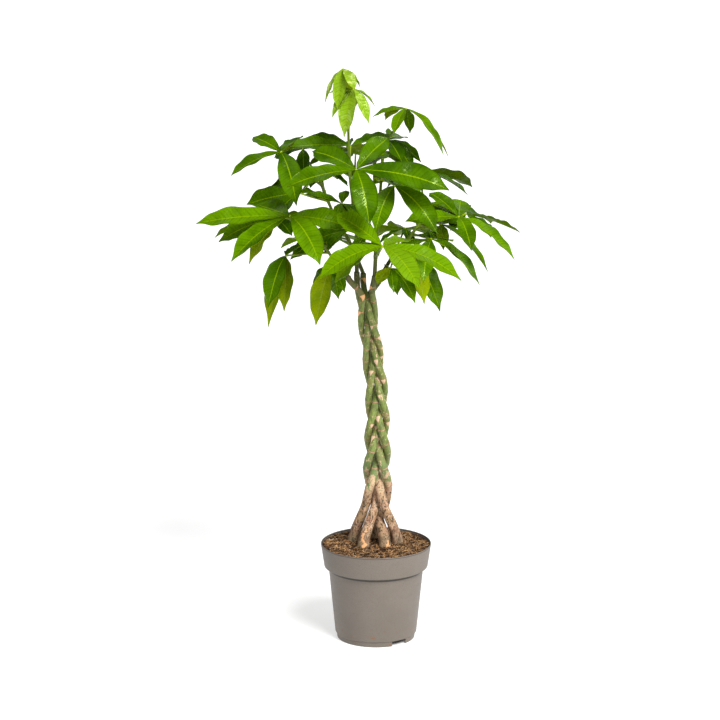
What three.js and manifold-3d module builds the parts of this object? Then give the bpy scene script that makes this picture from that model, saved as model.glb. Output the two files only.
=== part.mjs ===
// A potted money tree: five woody stems plaited into one trunk, in a plastic nursery pot.
// Millimetres, +Z up. The origin is the centre of the pot's base, and the front faces -Y.

import * as THREE from 'three';
import { mergeVertices } from 'three/addons/utils/BufferGeometryUtils.js';
import Module from 'manifold-3d';

const wasm = await Module();
wasm.setup();

// ---------------------------------------------------------------- driving dimensions

const GAP = 0.35; // between pieces that touch

// Pot
const POT_HEIGHT = 168;
const RIM_RADIUS = 95;
const BAND_HEIGHT = 40;
const BAND_FOOT_RADIUS = 89.3;
const LEDGE_RISE = 1.5; // the ledge under the band is nearly flat
const SHOULDER_RADIUS = 81.9;
const WALL_FOOT_RADIUS = 70.3;
const FOOT_RADIUS = 67;
const FOOT_HEIGHT = 9.2;
const STEP_HEIGHT = 10.5;
const WALL = 1.7;
const LIP_EDGE = 1.4;
const LIP_ROUND = 0.5;
const FOOT_DRAFT = 0.9;
const FLOOR_LEVEL = 10;
const FLOOR_THICKNESS = 2;
const CENTRE_DISC_RADIUS = 28;
const DISC_SLOPE = 3;
const CORNER_RUN = 2;
const CORNER_RISE = 1.2;
const DISC_INSET = 1;
const FOOT_RING_WIDTH = 2.5;
const POT_SIDES = 36;
const DRAIN_COUNT = 6;
const DRAIN_RADIUS = 4.5;
const DRAIN_SIDES = 12;
const DRAIN_CIRCLE = 46;
const NOTCH_COUNT = 2;
const NOTCH_WIDTH = 29;
const NOTCH_HEIGHT = 9;
const NOTCH_DEPTH = 12;
const NOTCH_ANGLE = -53.5; // degrees from +X: to the right of the front

// Soil
const SOIL_LEVEL = 165;
const SOIL_BUMP = 1.3;
const SOIL_RINGS = [76, 60, 44, 28, 13, 0];
const BUMP_FADE_START = 70;
const BUMP_FADE_END = 90;

// Stems
const STEM_COUNT = 5;
const STEM_SIDES = 8;
const ROOT_DEPTH = 60;
const ROOT_TIP_RADIUS = 4;
const ROOT_RINGS = [22, 8]; // depths below the soil's level
const BRAID_LOW_PITCH = 260; // height in which a stem comes back to its place, at the bottom
const BRAID_HIGH_PITCH = 370; // the same at the top, where the braid is looser
const BRAID_PHASE_HEIGHT = 265; // where the first stem crosses the middle from the left
const BRAID_START = 250;
const BRAID_END = 600;
const LEG_EASE = 28; // how gradually a leg turns into its strand of the braid
const TOP_RADIUS = 5.3;
const SOIL_RADIUS_GAIN = 4.1;
const TAPER_TOP = 620;
const TAPER_SPAN = 460;
const TAPER_POWER = 2.1;
const FLARE = 2.8;
const FLARE_FADE = 16;
const BRAID_WIDTH_PER_RADIUS = 2.25;
const BRAID_DEPTH_PER_RADIUS = 2.4;
const BRAID_EDGE_SWELL = 0.1; // how much further out a stem swings where it turns at the edge
const TRUNK_FOOT_X = 2;
const TRUNK_TOP_X = -19;
const LEAN_START = 400;
const LEAN_END = 640;
const STEM_STEP = 20;

// Where each stem stands in the soil (x, y), and where it ends above the braid (x, y, z).
const STEM_BASES = [[-22, -22], [-3, 34], [36, 5], [15, -16], [-38, 14]];
const STEM_TOPS = [[8, 27, 632], [-3, -14, 640], [-22, 26, 636], [-33, 8, 642], [-48, -18, 641]];

// Leaves
const BLADE_THICKNESS = 0.8;
const WIDTH_PER_LENGTH = 0.2; // half the blade's width
const MOST_HALF_WIDTH = 21;
const STALK_RADIUS = 1.5;
const STALK_FOOT_GAIN = 1.25;
const STALK_SIDES = 5;
const STALK_STATIONS = [0, 0.3, 0.65, 1];
const SHOOT_SIDES = 6;
const SHOOT_STEPS = 8;
const HUB_RADIUS = 4.2;
const ROOT_START = 1.7; // how far from the hub's middle a leaflet's root begins
const ROOT_HALF_WIDTH = 0.7;
const TIP_HALF_WIDTH = 0.35;
const BLADE_RISE = 1.12; // the powers that shape a blade's outline towards root and tip
const BLADE_FALL = 0.88;
const BEND_OUT = 0.6; // how far along a leaflet its bend lies
const BEND_DROP = 0.25; // the share of a leaflet's fall that comes before the bend
const BEND_CLIMB = 0.75;
const ARCH = [0.02, 0.1];
const WIDTH_SPREAD = [0.88, 1.12];
const ROLL_DEGREES = [-14, 14];
const OUTWARD_SHARE = 0.6;
const BLADE_STATIONS = [0, 0.13, 0.4, 0.74, 1];
const FRONT_TILT = 36; // degrees that a leaf in front leans its face towards the light
const BACK_TILT = 22;
const LIGHT_PULL = 130;
const SEED = 20;

// The green shoot above each stem: points along it after the stem's top, and its radii.
const SHOOTS = [
  { points: [[28, 32, 664], [58, 30, 700], [84, 38, 736]], radii: [3.4, 2.2] },
  { points: [[0, -24, 700], [6, -20, 780], [12, 10, 862]], radii: [3.6, 2.0] },
  { points: [[-42, 44, 680], [-72, 66, 730], [-96, 84, 786]], radii: [3.4, 2.2] },
  { points: [[-34, 10, 720], [-44, 14, 800], [-48, 2, 925]], radii: [3.6, 1.9] },
  { points: [[-58, -24, 656], [-74, -34, 676], [-90, -44, 700]], radii: [3.0, 2.2] },
];

// Each leaf: the shoot it grows on, how far up that shoot its stalk leaves (0 to 1), the hub
// where its leaflets meet, how far its face tilts towards the light if that is unlike the
// others, and each leaflet's tip from that hub (right, back, up).
const LEAVES = [
  // the youngest leaves, at the very top
  { shoot: 4, from: 1.0, hub: [-56, 0, 988], tilt: 12, slim: 0.75, tips: [
    [-30, 5, -57], [-9, -30, -65], [20, -40, -31], [29, 20, -34], [10, 35, -60]] },
  { shoot: 4, from: 0.92, hub: [-39, -15, 956], tilt: 8, slim: 0.85, tips: [
    [-41, 10, -8], [-35, -15, -45], [-15, -30, -76], [26, -15, -55], [36, 10, -29],
    [5, 50, -35]] },
  { shoot: 2, from: 0.98, hub: [49, 20, 919], tilt: 8, slim: 0.75, tips: [
    [-55, 25, -18], [-34, 55, -28], [-21, -50, -36], [63, -20, -75], [72, 25, -85],
    [8, 50, -51]] },
  { shoot: 4, from: 0.7, hub: [-44, 30, 854], tilt: 26, tips: [
    [71, 55, 10], [-100, -22, 2], [-76, 38, 6], [20, 95, -35], [-30, 100, -30]] },
  // the upper left
  { shoot: 3, from: 0.95, hub: [-160, 5, 848], tilt: 28, tips: [
    [-49, 60, 15], [32, 75, 13], [-83, -20, -37], [27, -60, -81], [10, 100, -15]] },
  { shoot: 3, from: 0.8, hub: [-130, 50, 770], tips: [
    [-90, 0, -20], [-60, 80, -15], [-45, -40, -45], [50, 60, -25], [5, 110, -20]] },
  { shoot: 3, from: 1.0, hub: [-125, 80, 840], tips: [
    [2, -40, -46], [-50, 60, -25], [45, 55, -10], [0, 115, -20]] },
  // the large middle leaves that face the front
  { shoot: 2, from: 0.6, hub: [-34, -110, 838], tips: [
    [-114, -20, -26], [-73, 65, 19], [54, 60, 43], [153, -10, -33], [22, -60, -84],
    [50, 105, 10]] },
  { shoot: 2, from: 0.5, hub: [29, -70, 804], tips: [
    [-32, -50, -71], [70, -40, -72], [51, 45, -27], [-23, 95, -10], [30, 100, -5]] },
  { shoot: 2, from: 0.2, hub: [9, -150, 718], tilt: 27, tips: [
    [-77, 45, 44], [-103, -20, -50], [59, -60, -58], [130, 10, -60], [46, 85, -5],
    [-78, 45, -71]] },
  { shoot: 2, from: 0.9, hub: [20, 70, 857], tilt: 20, tips: [
    [22, -60, -26], [56, 0, -38], [41, -30, -47], [25, 95, -10], [-35, 80, -25]] },
  // small leaves deep inside, seen through the gaps
  { shoot: 4, from: 0.3, hub: [-58, -6, 762], tilt: 18, tips: [
    [-62, 10, 14], [-10, -34, -16], [6, 46, 14], [32, -30, -22], [10, -34, -28]] },
  { shoot: 2, from: 0.25, hub: [-10, -60, 724], tilt: 24, tips: [
    [-34, -20, -41], [-38, 30, 6], [14, -10, -40]] },
  // the left
  { shoot: 5, from: 1.0, hub: [-144, -60, 752], tips: [
    [-156, -5, -13], [-96, -50, -68], [-121, 40, -53], [-69, 10, -85], [51, -60, -72],
    [98, -10, -18], [-57, 78, 4]] },
  { shoot: 5, from: 0.8, hub: [-152, -40, 680], tips: [
    [-29, -30, -83], [-30, 5, -124], [-3, 0, -96], [20, 60, 3]] },
  { shoot: 5, from: 0.5, hub: [-78, -20, 654], tips: [
    [-24, -15, -95], [14, 20, -58], [-30, 45, -45], [25, -30, -35]] },
  { shoot: 5, from: 0.95, hub: [-49, -20, 719], tips: [
    [-33, -30, -27], [-96, 20, -54], [30, 10, -12], [-20, 65, -25]] },
  // the right
  { shoot: 1, from: 1.0, hub: [138, -20, 742], tilt: 14, tips: [
    [-90, -20, -4], [-49, 60, 30], [-49, 90, 7], [6, 90, 12], [94, 0, -73], [19, -60, -46]] },
  { shoot: 1, from: 0.7, hub: [92, -8, 702], tilt: 14, tips: [
    [-61, -30, -14], [-14, -50, -64], [82, 0, -79], [30, 85, -20], [-25, 85, -10]] },
  { shoot: 1, from: 0.4, hub: [24, 0, 650], tips: [
    [-23, -38, -20], [5, -30, -36], [12, 20, -51], [42, 0, -61], [12, 88, -40]] },
  { shoot: 1, from: 0.5, hub: [66, 20, 660], tips: [
    [15, -20, -72], [43, 20, -94], [30, 60, -10], [-25, 80, -15]] },
  { shoot: 1, from: 0.9, hub: [110, 50, 716], tilt: 10, tips: [
    [80, 0, -82], [3, -40, -37], [-35, 80, -25], [35, 95, -15]] },
];

// The back of the crown: whole leaves fanned out by rule. Facing is in degrees from +X.
const BACK_LEAVES = [
  { shoot: 3, from: 0.9, hub: [-95, 150, 795], facing: 105, length: 110, leaflets: 6 },
  { shoot: 3, from: 0.6, hub: [-175, 120, 715], facing: 150, length: 105, leaflets: 6 },
  { shoot: 4, from: 0.5, hub: [-35, 165, 825], facing: 95, length: 100, leaflets: 6 },
  { shoot: 1, from: 1.0, hub: [75, 150, 790], facing: 60, length: 110, leaflets: 6 },
  { shoot: 1, from: 0.8, hub: [155, 125, 720], facing: 30, length: 95, leaflets: 6 },
  { shoot: 1, from: 0.3, hub: [50, 150, 690], facing: 70, length: 95, leaflets: 6 },
  { shoot: 3, from: 0.4, hub: [-85, 140, 680], facing: 120, length: 95, leaflets: 6 },
];
const FAN_DEGREES = 300;
const FAN_SHORTENING = 0.4; // how much shorter the outermost leaflets are
const FAN_DROOP = 0.35;

// Colours
const POT_COLOUR = 0x94897f;
const SOIL_COLOUR = 0x4a3424;
const BARK_COLOUR = 0x967d5f;
const LEAF_COLOUR = 0x57a00a;

// ---------------------------------------------------------------- small helpers

const UP = new THREE.Vector3(0, 0, 1);

function radians(degrees) {
  return degrees * Math.PI / 180;
}

function smoothstep(low, high, value) {
  const t = Math.min(1, Math.max(0, (value - low) / (high - low)));
  return t * t * (3 - 2 * t);
}

function mix(a, b, t) {
  return a + (b - a) * t;
}

// A repeatable source of numbers between 0 and 1.
function seededDraw(seed) {
  let state = seed;
  return () => {
    state = (state * 1664525 + 1013904223) % 4294967296;
    return state / 4294967296;
  };
}

// ---------------------------------------------------------------- solids

function solidOf(geometry) {
  const bare = geometry.index ? geometry.toNonIndexed() : geometry.clone();
  bare.deleteAttribute('normal');
  bare.deleteAttribute('uv');
  const merged = mergeVertices(bare, 1e-4);
  const mesh = new wasm.Mesh({
    numProp: 3,
    vertProperties: new Float32Array(merged.attributes.position.array),
    triVerts: new Uint32Array(merged.index.array),
  });
  return new wasm.Manifold(mesh);
}

function geometryOf(solid) {
  const mesh = solid.getMesh();
  const geometry = new THREE.BufferGeometry();
  geometry.setAttribute('position', new THREE.BufferAttribute(mesh.vertProperties, 3));
  geometry.setIndex(new THREE.BufferAttribute(mesh.triVerts, 1));
  geometry.computeVertexNormals();
  return geometry;
}

function joined(solids) {
  return solids.reduce((sum, solid) => sum.add(solid));
}

// A closed skin over rings of points that all have the same count, with a flat cap at each end.
// The second half of the sides is split into triangles the other way round, so that the two
// faces of a thin twisted blade are split alike and keep their distance.
function skinOf(rings) {
  const sides = rings[0].length;
  const points = rings.flat();
  const faces = [];
  for (let ring = 0; ring + 1 < rings.length; ring += 1) {
    for (let side = 0; side < sides; side += 1) {
      const a = ring * sides + side;
      const b = ring * sides + (side + 1) % sides;
      if (side < sides / 2) {
        faces.push(a, b, b + sides, a, b + sides, a + sides);
      } else {
        faces.push(a, b, a + sides, b, b + sides, a + sides);
      }
    }
  }
  const last = (rings.length - 1) * sides;
  for (let side = 1; side + 1 < sides; side += 1) {
    faces.push(0, side + 1, side);
    faces.push(last, last + side, last + side + 1);
  }
  return indexedGeometry(points, faces);
}

function indexedGeometry(points, faces) {
  const geometry = new THREE.BufferGeometry();
  geometry.setFromPoints(points);
  geometry.setIndex(faces);
  return geometry;
}

// A round tube through the given centres, each with its own radius. Its ends can be cut level.
function tubeOf(centres, radii, sides, levelEnds = false) {
  const final = centres.length - 1;
  const rings = centres.map((centre, index) => {
    const before = centres[Math.max(0, index - 1)];
    const after = centres[Math.min(final, index + 1)];
    const isEnd = index === 0 || index === final;
    const along = levelEnds && isEnd ? UP.clone() : after.clone().sub(before).normalize();
    const across = new THREE.Vector3(1, 0, 0).addScaledVector(along, -along.x).normalize();
    const outward = along.clone().cross(across);
    const ring = [];
    for (let side = 0; side < sides; side += 1) {
      const angle = 2 * Math.PI * side / sides;
      ring.push(centre.clone()
        .addScaledVector(across, radii[index] * Math.cos(angle))
        .addScaledVector(outward, radii[index] * Math.sin(angle)));
    }
    return ring;
  });
  return skinOf(rings);
}

// ---------------------------------------------------------------- pot

// The pot's section, from the axis out under the floor, up the outside and down the inside.
function potProfile() {
  const bandFoot = POT_HEIGHT - BAND_HEIGHT;
  const shoulder = bandFoot - LEDGE_RISE;
  const under = FLOOR_LEVEL - FLOOR_THICKNESS;
  const section = [
    [0, 0],
    [CENTRE_DISC_RADIUS, 0],
    [CENTRE_DISC_RADIUS + DISC_SLOPE, under],
    [FOOT_RADIUS - FOOT_RING_WIDTH - DISC_INSET, under],
    [FOOT_RADIUS - FOOT_RING_WIDTH, 0],
    [FOOT_RADIUS, 0],
    [FOOT_RADIUS + FOOT_DRAFT, FOOT_HEIGHT],
    [WALL_FOOT_RADIUS, STEP_HEIGHT],
    [SHOULDER_RADIUS, shoulder],
    [BAND_FOOT_RADIUS, bandFoot],
    [RIM_RADIUS, POT_HEIGHT - LIP_EDGE],
    [RIM_RADIUS - LIP_ROUND, POT_HEIGHT],
    ...pocketProfile(0),
  ];
  return section.map(([radius, height]) => new THREE.Vector2(radius, height));
}

// The inside of the pot, from its lip down to the middle of its floor, drawn in by an inset.
function pocketProfile(inset) {
  const bandFoot = POT_HEIGHT - BAND_HEIGHT;
  const shoulder = bandFoot - LEDGE_RISE;
  return [
    [RIM_RADIUS - WALL - inset, POT_HEIGHT],
    [BAND_FOOT_RADIUS - WALL - inset, bandFoot + WALL + inset],
    [SHOULDER_RADIUS - WALL - inset, shoulder + WALL + inset],
    [WALL_FOOT_RADIUS - WALL - inset, FLOOR_LEVEL + CORNER_RISE + inset],
    [WALL_FOOT_RADIUS - WALL - CORNER_RUN - inset, FLOOR_LEVEL + inset],
    [CENTRE_DISC_RADIUS + DISC_SLOPE - DISC_INSET - inset, FLOOR_LEVEL + inset],
    [CENTRE_DISC_RADIUS - DISC_INSET - inset, FLOOR_THICKNESS + inset],
    [0, FLOOR_THICKNESS + inset],
  ];
}

function turned(profile) {
  const geometry = new THREE.LatheGeometry(profile, POT_SIDES);
  geometry.rotateX(Math.PI / 2);
  return geometry;
}

function drainHole(index) {
  const angle = 2 * Math.PI * index / DRAIN_COUNT;
  const hole = new THREE.CylinderGeometry(DRAIN_RADIUS, DRAIN_RADIUS, FLOOR_LEVEL, DRAIN_SIDES);
  hole.rotateX(Math.PI / 2);
  hole.translate(DRAIN_CIRCLE * Math.cos(angle), DRAIN_CIRCLE * Math.sin(angle), FLOOR_LEVEL);
  return solidOf(hole);
}

function footNotch(index) {
  const notch = new THREE.BoxGeometry(NOTCH_DEPTH, NOTCH_WIDTH, 2 * NOTCH_HEIGHT);
  notch.translate(FOOT_RADIUS, 0, 0);
  notch.rotateZ(radians(NOTCH_ANGLE + 360 * index / NOTCH_COUNT));
  return solidOf(notch);
}

function makePot() {
  let pot = solidOf(turned(potProfile()));
  for (let index = 0; index < DRAIN_COUNT; index += 1) {
    pot = pot.subtract(drainHole(index));
  }
  for (let index = 0; index < NOTCH_COUNT; index += 1) {
    pot = pot.subtract(footNotch(index));
  }
  return pot;
}

// ---------------------------------------------------------------- stems

function stemRadius(height) {
  const fall = Math.max(0, TAPER_TOP - height) / TAPER_SPAN;
  const flare = FLARE * Math.exp(-Math.max(0, height - SOIL_LEVEL) / FLARE_FADE);
  return TOP_RADIUS + SOIL_RADIUS_GAIN * fall ** TAPER_POWER + flare;
}

// How many times a stem has been round the braid at a height, as the pitch grows.
function braidTurns(height) {
  const climb = height - BRAID_PHASE_HEIGHT;
  const slowing = (1 / BRAID_LOW_PITCH - 1 / BRAID_HIGH_PITCH) / (BRAID_END - BRAID_PHASE_HEIGHT);
  return climb / BRAID_LOW_PITCH - slowing * climb * climb / 2;
}

// Where a stem's axis is at a height: five strands cross in a flat figure of eight.
function braidPoint(stem, height) {
  const turn = 2 * Math.PI * (braidTurns(height) + stem / STEM_COUNT);
  const radius = stemRadius(height);
  const middle = mix(TRUNK_FOOT_X, TRUNK_TOP_X, smoothstep(LEAN_START, LEAN_END, height));
  const across = Math.sin(turn) - BRAID_EDGE_SWELL * Math.sin(3 * turn);
  return new THREE.Vector3(
    middle + BRAID_WIDTH_PER_RADIUS * radius * across,
    BRAID_DEPTH_PER_RADIUS * radius * Math.sin(2 * turn),
    height,
  );
}

// A stem's leg runs from its base to the braid's start, and above the braid it leads to its top.
function stemPoint(stem, height) {
  const above = height - BRAID_START;
  const point = braidPoint(stem, BRAID_START + (above + Math.hypot(above, LEG_EASE)) / 2);
  point.z = height;
  const [baseX, baseY] = STEM_BASES[stem];
  const [topX, topY] = STEM_TOPS[stem];
  const rise = smoothstep(SOIL_LEVEL, BRAID_START, height);
  const part = smoothstep(BRAID_END, STEM_TOPS[stem][2], height);
  point.x = mix(mix(baseX, point.x, rise), topX, part);
  point.y = mix(mix(baseY, point.y, rise), topY, part);
  return point;
}

// One stem's tube, fatter by a margin when it stands for the hole that it makes in the soil.
function stemTube(stem, margin) {
  const foot = SOIL_LEVEL - ROOT_DEPTH - margin;
  const top = STEM_TOPS[stem][2];
  const heights = [foot, ...ROOT_RINGS.map((depth) => SOIL_LEVEL - depth)];
  const steps = Math.round((top - SOIL_LEVEL) / STEM_STEP);
  for (let step = 0; step <= steps; step += 1) {
    heights.push(mix(SOIL_LEVEL, top, step / steps));
  }
  const centres = heights.map((height) => stemPoint(stem, height));
  const radii = heights.map((height) => stemRadius(height) + margin);
  radii[0] = ROOT_TIP_RADIUS + margin;
  return tubeOf(centres, radii, STEM_SIDES, true);
}

// ---------------------------------------------------------------- soil

// The soil's level above its mean, as low uneven crumbs that fade out at the pot's wall.
function soilBump(x, y) {
  const fade = 1 - smoothstep(BUMP_FADE_START, BUMP_FADE_END, Math.hypot(x, y));
  const coarse = Math.sin(x * 0.11 + 1.3) * Math.cos(y * 0.13 - 0.4);
  const fine = Math.sin(x * 0.31 - y * 0.23) * Math.sin(y * 0.37 + 0.8);
  return SOIL_BUMP * fade * (coarse + 0.5 * fine);
}

function soilProfile() {
  const pocket = pocketProfile(GAP).reverse();
  const bandFoot = pocket[pocket.length - 2];
  const rim = pocket[pocket.length - 1];
  const share = (SOIL_LEVEL - bandFoot[1]) / (rim[1] - bandFoot[1]);
  const edge = mix(bandFoot[0], rim[0], share);
  const sides = pocket.slice(0, -1);
  const top = [edge, ...SOIL_RINGS].map((radius) => [radius, SOIL_LEVEL]);
  return [...sides, ...top].map(([radius, height]) => new THREE.Vector2(radius, height));
}

function makeSoil() {
  const geometry = turned(soilProfile());
  const position = geometry.attributes.position;
  for (let index = 0; index < position.count; index += 1) {
    if (Math.abs(position.getZ(index) - SOIL_LEVEL) < 1e-3) {
      const bump = soilBump(position.getX(index), position.getY(index));
      position.setZ(index, SOIL_LEVEL + bump);
    }
  }
  let soil = solidOf(geometry);
  for (let stem = 0; stem < STEM_COUNT; stem += 1) {
    soil = soil.subtract(solidOf(stemTube(stem, GAP)));
  }
  return soil;
}

// ---------------------------------------------------------------- leaves

// The blade's half width along its length, widest past the middle, as a share of the widest.
function bladeShape(t) {
  const peak = BLADE_RISE / (BLADE_RISE + BLADE_FALL);
  const most = peak ** BLADE_RISE * (1 - peak) ** BLADE_FALL;
  return t ** BLADE_RISE * (1 - t) ** BLADE_FALL / most;
}

function curvePoint(start, bend, end, t) {
  return start.clone().multiplyScalar((1 - t) ** 2)
    .addScaledVector(bend, 2 * t * (1 - t))
    .addScaledVector(end, t * t);
}

// A leaflet leaves the hub nearly level and then droops to its tip.
function bladeBend(hub, reach, arch) {
  const lift = reach.z < 0 ? BEND_DROP : BEND_CLIMB;
  return new THREE.Vector3(
    hub.x + BEND_OUT * reach.x,
    hub.y + BEND_OUT * reach.y,
    hub.z + lift * reach.z + arch * reach.length(),
  );
}

// One leaflet: a thin blade that arches along its midrib and turns its face with its leaf.
function leafletSolid(hub, reach, facing, form) {
  const length = reach.length();
  const tip = hub.clone().add(reach);
  const bend = bladeBend(hub, reach, form.arch);
  const halfWidth = Math.min(MOST_HALF_WIDTH, WIDTH_PER_LENGTH * length) * form.width;
  const rings = BLADE_STATIONS.map((t) => {
    const centre = curvePoint(hub, bend, tip, t);
    const along = curvePoint(hub, bend, tip, Math.min(1, t + 0.02))
      .sub(curvePoint(hub, bend, tip, Math.max(0, t - 0.02)))
      .normalize();
    if (t === 0) {
      centre.addScaledVector(along, ROOT_START);
    }
    const side = facing.clone().cross(along).normalize().applyAxisAngle(along, form.roll);
    const face = along.clone().cross(side).normalize();
    const least = t === 0 ? ROOT_HALF_WIDTH : TIP_HALF_WIDTH;
    const reachOut = Math.max(least, halfWidth * bladeShape(t));
    return bladeRing(centre, side, face, reachOut);
  });
  return solidOf(skinOf(rings));
}

// The four corners of a blade's section.
function bladeRing(centre, side, face, reachOut) {
  const half = BLADE_THICKNESS / 2;
  const corner = (out, up) => centre.clone().addScaledVector(side, out).addScaledVector(face, up);
  return [
    corner(-reachOut, -half),
    corner(reachOut, -half),
    corner(reachOut, half),
    corner(-reachOut, half),
  ];
}

function stalkSolid(start, hub) {
  const bend = new THREE.Vector3(
    mix(start.x, hub.x, 0.6),
    mix(start.y, hub.y, 0.6),
    mix(start.z, hub.z, 0.5),
  );
  const centres = STALK_STATIONS.map((t) => curvePoint(start, bend, hub, t));
  const radii = STALK_STATIONS.map((t) => STALK_RADIUS * mix(STALK_FOOT_GAIN, 1, t));
  return solidOf(tubeOf(centres, radii, STALK_SIDES));
}

function hubSolid(hub) {
  const ball = new THREE.OctahedronGeometry(HUB_RADIUS);
  ball.translate(hub.x, hub.y, hub.z);
  return solidOf(ball);
}

// The reaches of a whole leaf fanned out round its hub, the middle leaflet the longest.
function fannedTips(leaf) {
  const tips = [];
  for (let index = 0; index < leaf.leaflets; index += 1) {
    const share = index / (leaf.leaflets - 1) * 2 - 1;
    const heading = radians(leaf.facing + share * FAN_DEGREES / 2);
    const length = leaf.length * (1 - FAN_SHORTENING * share * share);
    tips.push([
      length * Math.cos(heading),
      length * Math.sin(heading),
      -FAN_DROOP * length,
    ]);
  }
  return tips;
}

// The way that a leaf's upper face looks: up, and leaning out or towards the light in front.
function leafFacing(leaf) {
  const [x, y] = leaf.hub;
  const tilt = radians(leaf.tilt ?? (leaf.inFront ? FRONT_TILT : BACK_TILT));
  const pull = leaf.inFront ? LIGHT_PULL : 0;
  const outward = new THREE.Vector3(OUTWARD_SHARE * x, OUTWARD_SHARE * y - pull, 0).normalize();
  return UP.clone().multiplyScalar(Math.cos(tilt)).addScaledVector(outward, Math.sin(tilt));
}

// How each leaflet differs a little from the next: its arch, its width and its roll.
function leafletForm(draw, slim) {
  return {
    arch: mix(...ARCH, draw()),
    width: slim * mix(...WIDTH_SPREAD, draw()),
    roll: radians(mix(...ROLL_DEGREES, draw())),
  };
}

function allLeaves() {
  const draw = seededDraw(SEED);
  const seen = LEAVES.map((leaf) => ({ ...leaf, inFront: true }));
  const fanned = BACK_LEAVES.map((leaf) => ({ ...leaf, tips: fannedTips(leaf) }));
  return [...seen, ...fanned].map((leaf) => ({
    ...leaf,
    forms: leaf.tips.map(() => leafletForm(draw, leaf.slim ?? 1)),
  }));
}

// ---------------------------------------------------------------- leafy shoots

function shootCurve(shoot) {
  const [x, y, z] = STEM_TOPS[shoot];
  const start = new THREE.Vector3(x, y, z + GAP);
  const later = SHOOTS[shoot].points.map((point) => new THREE.Vector3(...point));
  return new THREE.CatmullRomCurve3([start, ...later]);
}

// The bare green shoot, cut level so that it sits flat on its stem's top.
function shootTube(shoot) {
  const curve = shootCurve(shoot);
  const [footRadius, topRadius] = SHOOTS[shoot].radii;
  const centres = [];
  const radii = [];
  for (let step = 0; step <= SHOOT_STEPS; step += 1) {
    centres.push(curve.getPoint(step / SHOOT_STEPS));
    radii.push(mix(footRadius, topRadius, step / SHOOT_STEPS));
  }
  return solidOf(tubeOf(centres, radii, SHOOT_SIDES, true));
}

function leafSolids(leaf) {
  const hub = new THREE.Vector3(...leaf.hub);
  const start = shootCurve(leaf.shoot - 1).getPoint(leaf.from);
  const facing = leafFacing(leaf);
  const blades = leaf.tips.map((tip, index) => {
    return leafletSolid(hub, new THREE.Vector3(...tip), facing, leaf.forms[index]);
  });
  return [stalkSolid(start, hub), hubSolid(hub), ...blades];
}

function makeShoot(shoot, leaves) {
  const own = leaves.filter((leaf) => leaf.shoot === shoot + 1);
  return joined([shootTube(shoot), ...own.flatMap(leafSolids)]);
}

// ---------------------------------------------------------------- the whole plant

function namedMesh(name, geometry, colour, roughness) {
  const material = new THREE.MeshStandardMaterial({ color: colour, roughness, metalness: 0 });
  const mesh = new THREE.Mesh(geometry, material);
  mesh.name = name;
  return mesh;
}

const plant = new THREE.Group();
plant.add(namedMesh('pot', geometryOf(makePot()), POT_COLOUR, 0.6));
plant.add(namedMesh('soil', geometryOf(makeSoil()), SOIL_COLOUR, 0.95));

const leaves = allLeaves();
for (let stem = 0; stem < STEM_COUNT; stem += 1) {
  const number = stem + 1;
  plant.add(namedMesh(`stem_${number}`, stemTube(stem, 0), BARK_COLOUR, 0.8));
  const shoot = geometryOf(makeShoot(stem, leaves));
  plant.add(namedMesh(`leafy_shoot_${number}`, shoot, LEAF_COLOUR, 0.4));
}

export default plant;
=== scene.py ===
"""A potted money tree: five plaited stems with palmate leaves, in a plastic nursery pot.

Sizes are in millimetres and become metres when a mesh is made. Materials work in metres. +Z is
up, the front faces -Y and the origin is the centre of the pot's base.
"""

import math

import bpy
import numpy as np
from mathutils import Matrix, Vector, noise


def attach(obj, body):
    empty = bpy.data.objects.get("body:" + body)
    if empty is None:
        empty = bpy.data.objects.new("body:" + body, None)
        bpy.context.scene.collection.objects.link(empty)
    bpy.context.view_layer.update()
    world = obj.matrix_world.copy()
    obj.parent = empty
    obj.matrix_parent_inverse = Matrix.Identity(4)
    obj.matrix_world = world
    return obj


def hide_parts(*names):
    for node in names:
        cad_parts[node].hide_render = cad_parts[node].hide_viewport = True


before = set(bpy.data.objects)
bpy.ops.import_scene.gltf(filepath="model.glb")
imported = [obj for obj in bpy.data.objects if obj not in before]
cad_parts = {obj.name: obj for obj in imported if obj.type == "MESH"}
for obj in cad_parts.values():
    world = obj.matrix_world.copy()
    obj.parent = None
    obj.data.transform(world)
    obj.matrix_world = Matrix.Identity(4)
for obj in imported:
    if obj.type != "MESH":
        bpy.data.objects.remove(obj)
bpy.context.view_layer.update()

MM = 0.001

# ---------------- driving dimensions

POT_HEIGHT = 168
RIM_RADIUS = 95
BAND_HEIGHT = 40
BAND_FOOT_RADIUS = 89.3
LEDGE_RISE = 1.5  # the ledge under the band is nearly flat
SHOULDER_RADIUS = 81.9
WALL_FOOT_RADIUS = 70.3
FOOT_RADIUS = 67
FOOT_HEIGHT = 9.2
FOOT_DRAFT = 0.9
STEP_HEIGHT = 10.5
WALL = 1.7
LIP_EDGE = 1.4
LIP_ROUND = 0.5
FLOOR_LEVEL = 10
FLOOR_THICKNESS = 2
CENTRE_DISC_RADIUS = 28
DISC_SLOPE = 3
CORNER_RUN = 2
CORNER_RISE = 1.2
DISC_INSET = 1
FOOT_RING_WIDTH = 2.5
POT_SIDES = 160
POT_ROUNDING = 0.8
POT_SHARP_DEGREES = 40
DRAIN_COUNT = 6
DRAIN_RADIUS = 4.5
DRAIN_CIRCLE = 46
DRAIN_SIDES = 24
NOTCH_COUNT = 2
NOTCH_WIDTH = 29
NOTCH_HEIGHT = 9
NOTCH_DEPTH = 12
NOTCH_ANGLE = -53.5  # degrees from +X: to the right of the front

SOIL_LEVEL = 165

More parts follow.
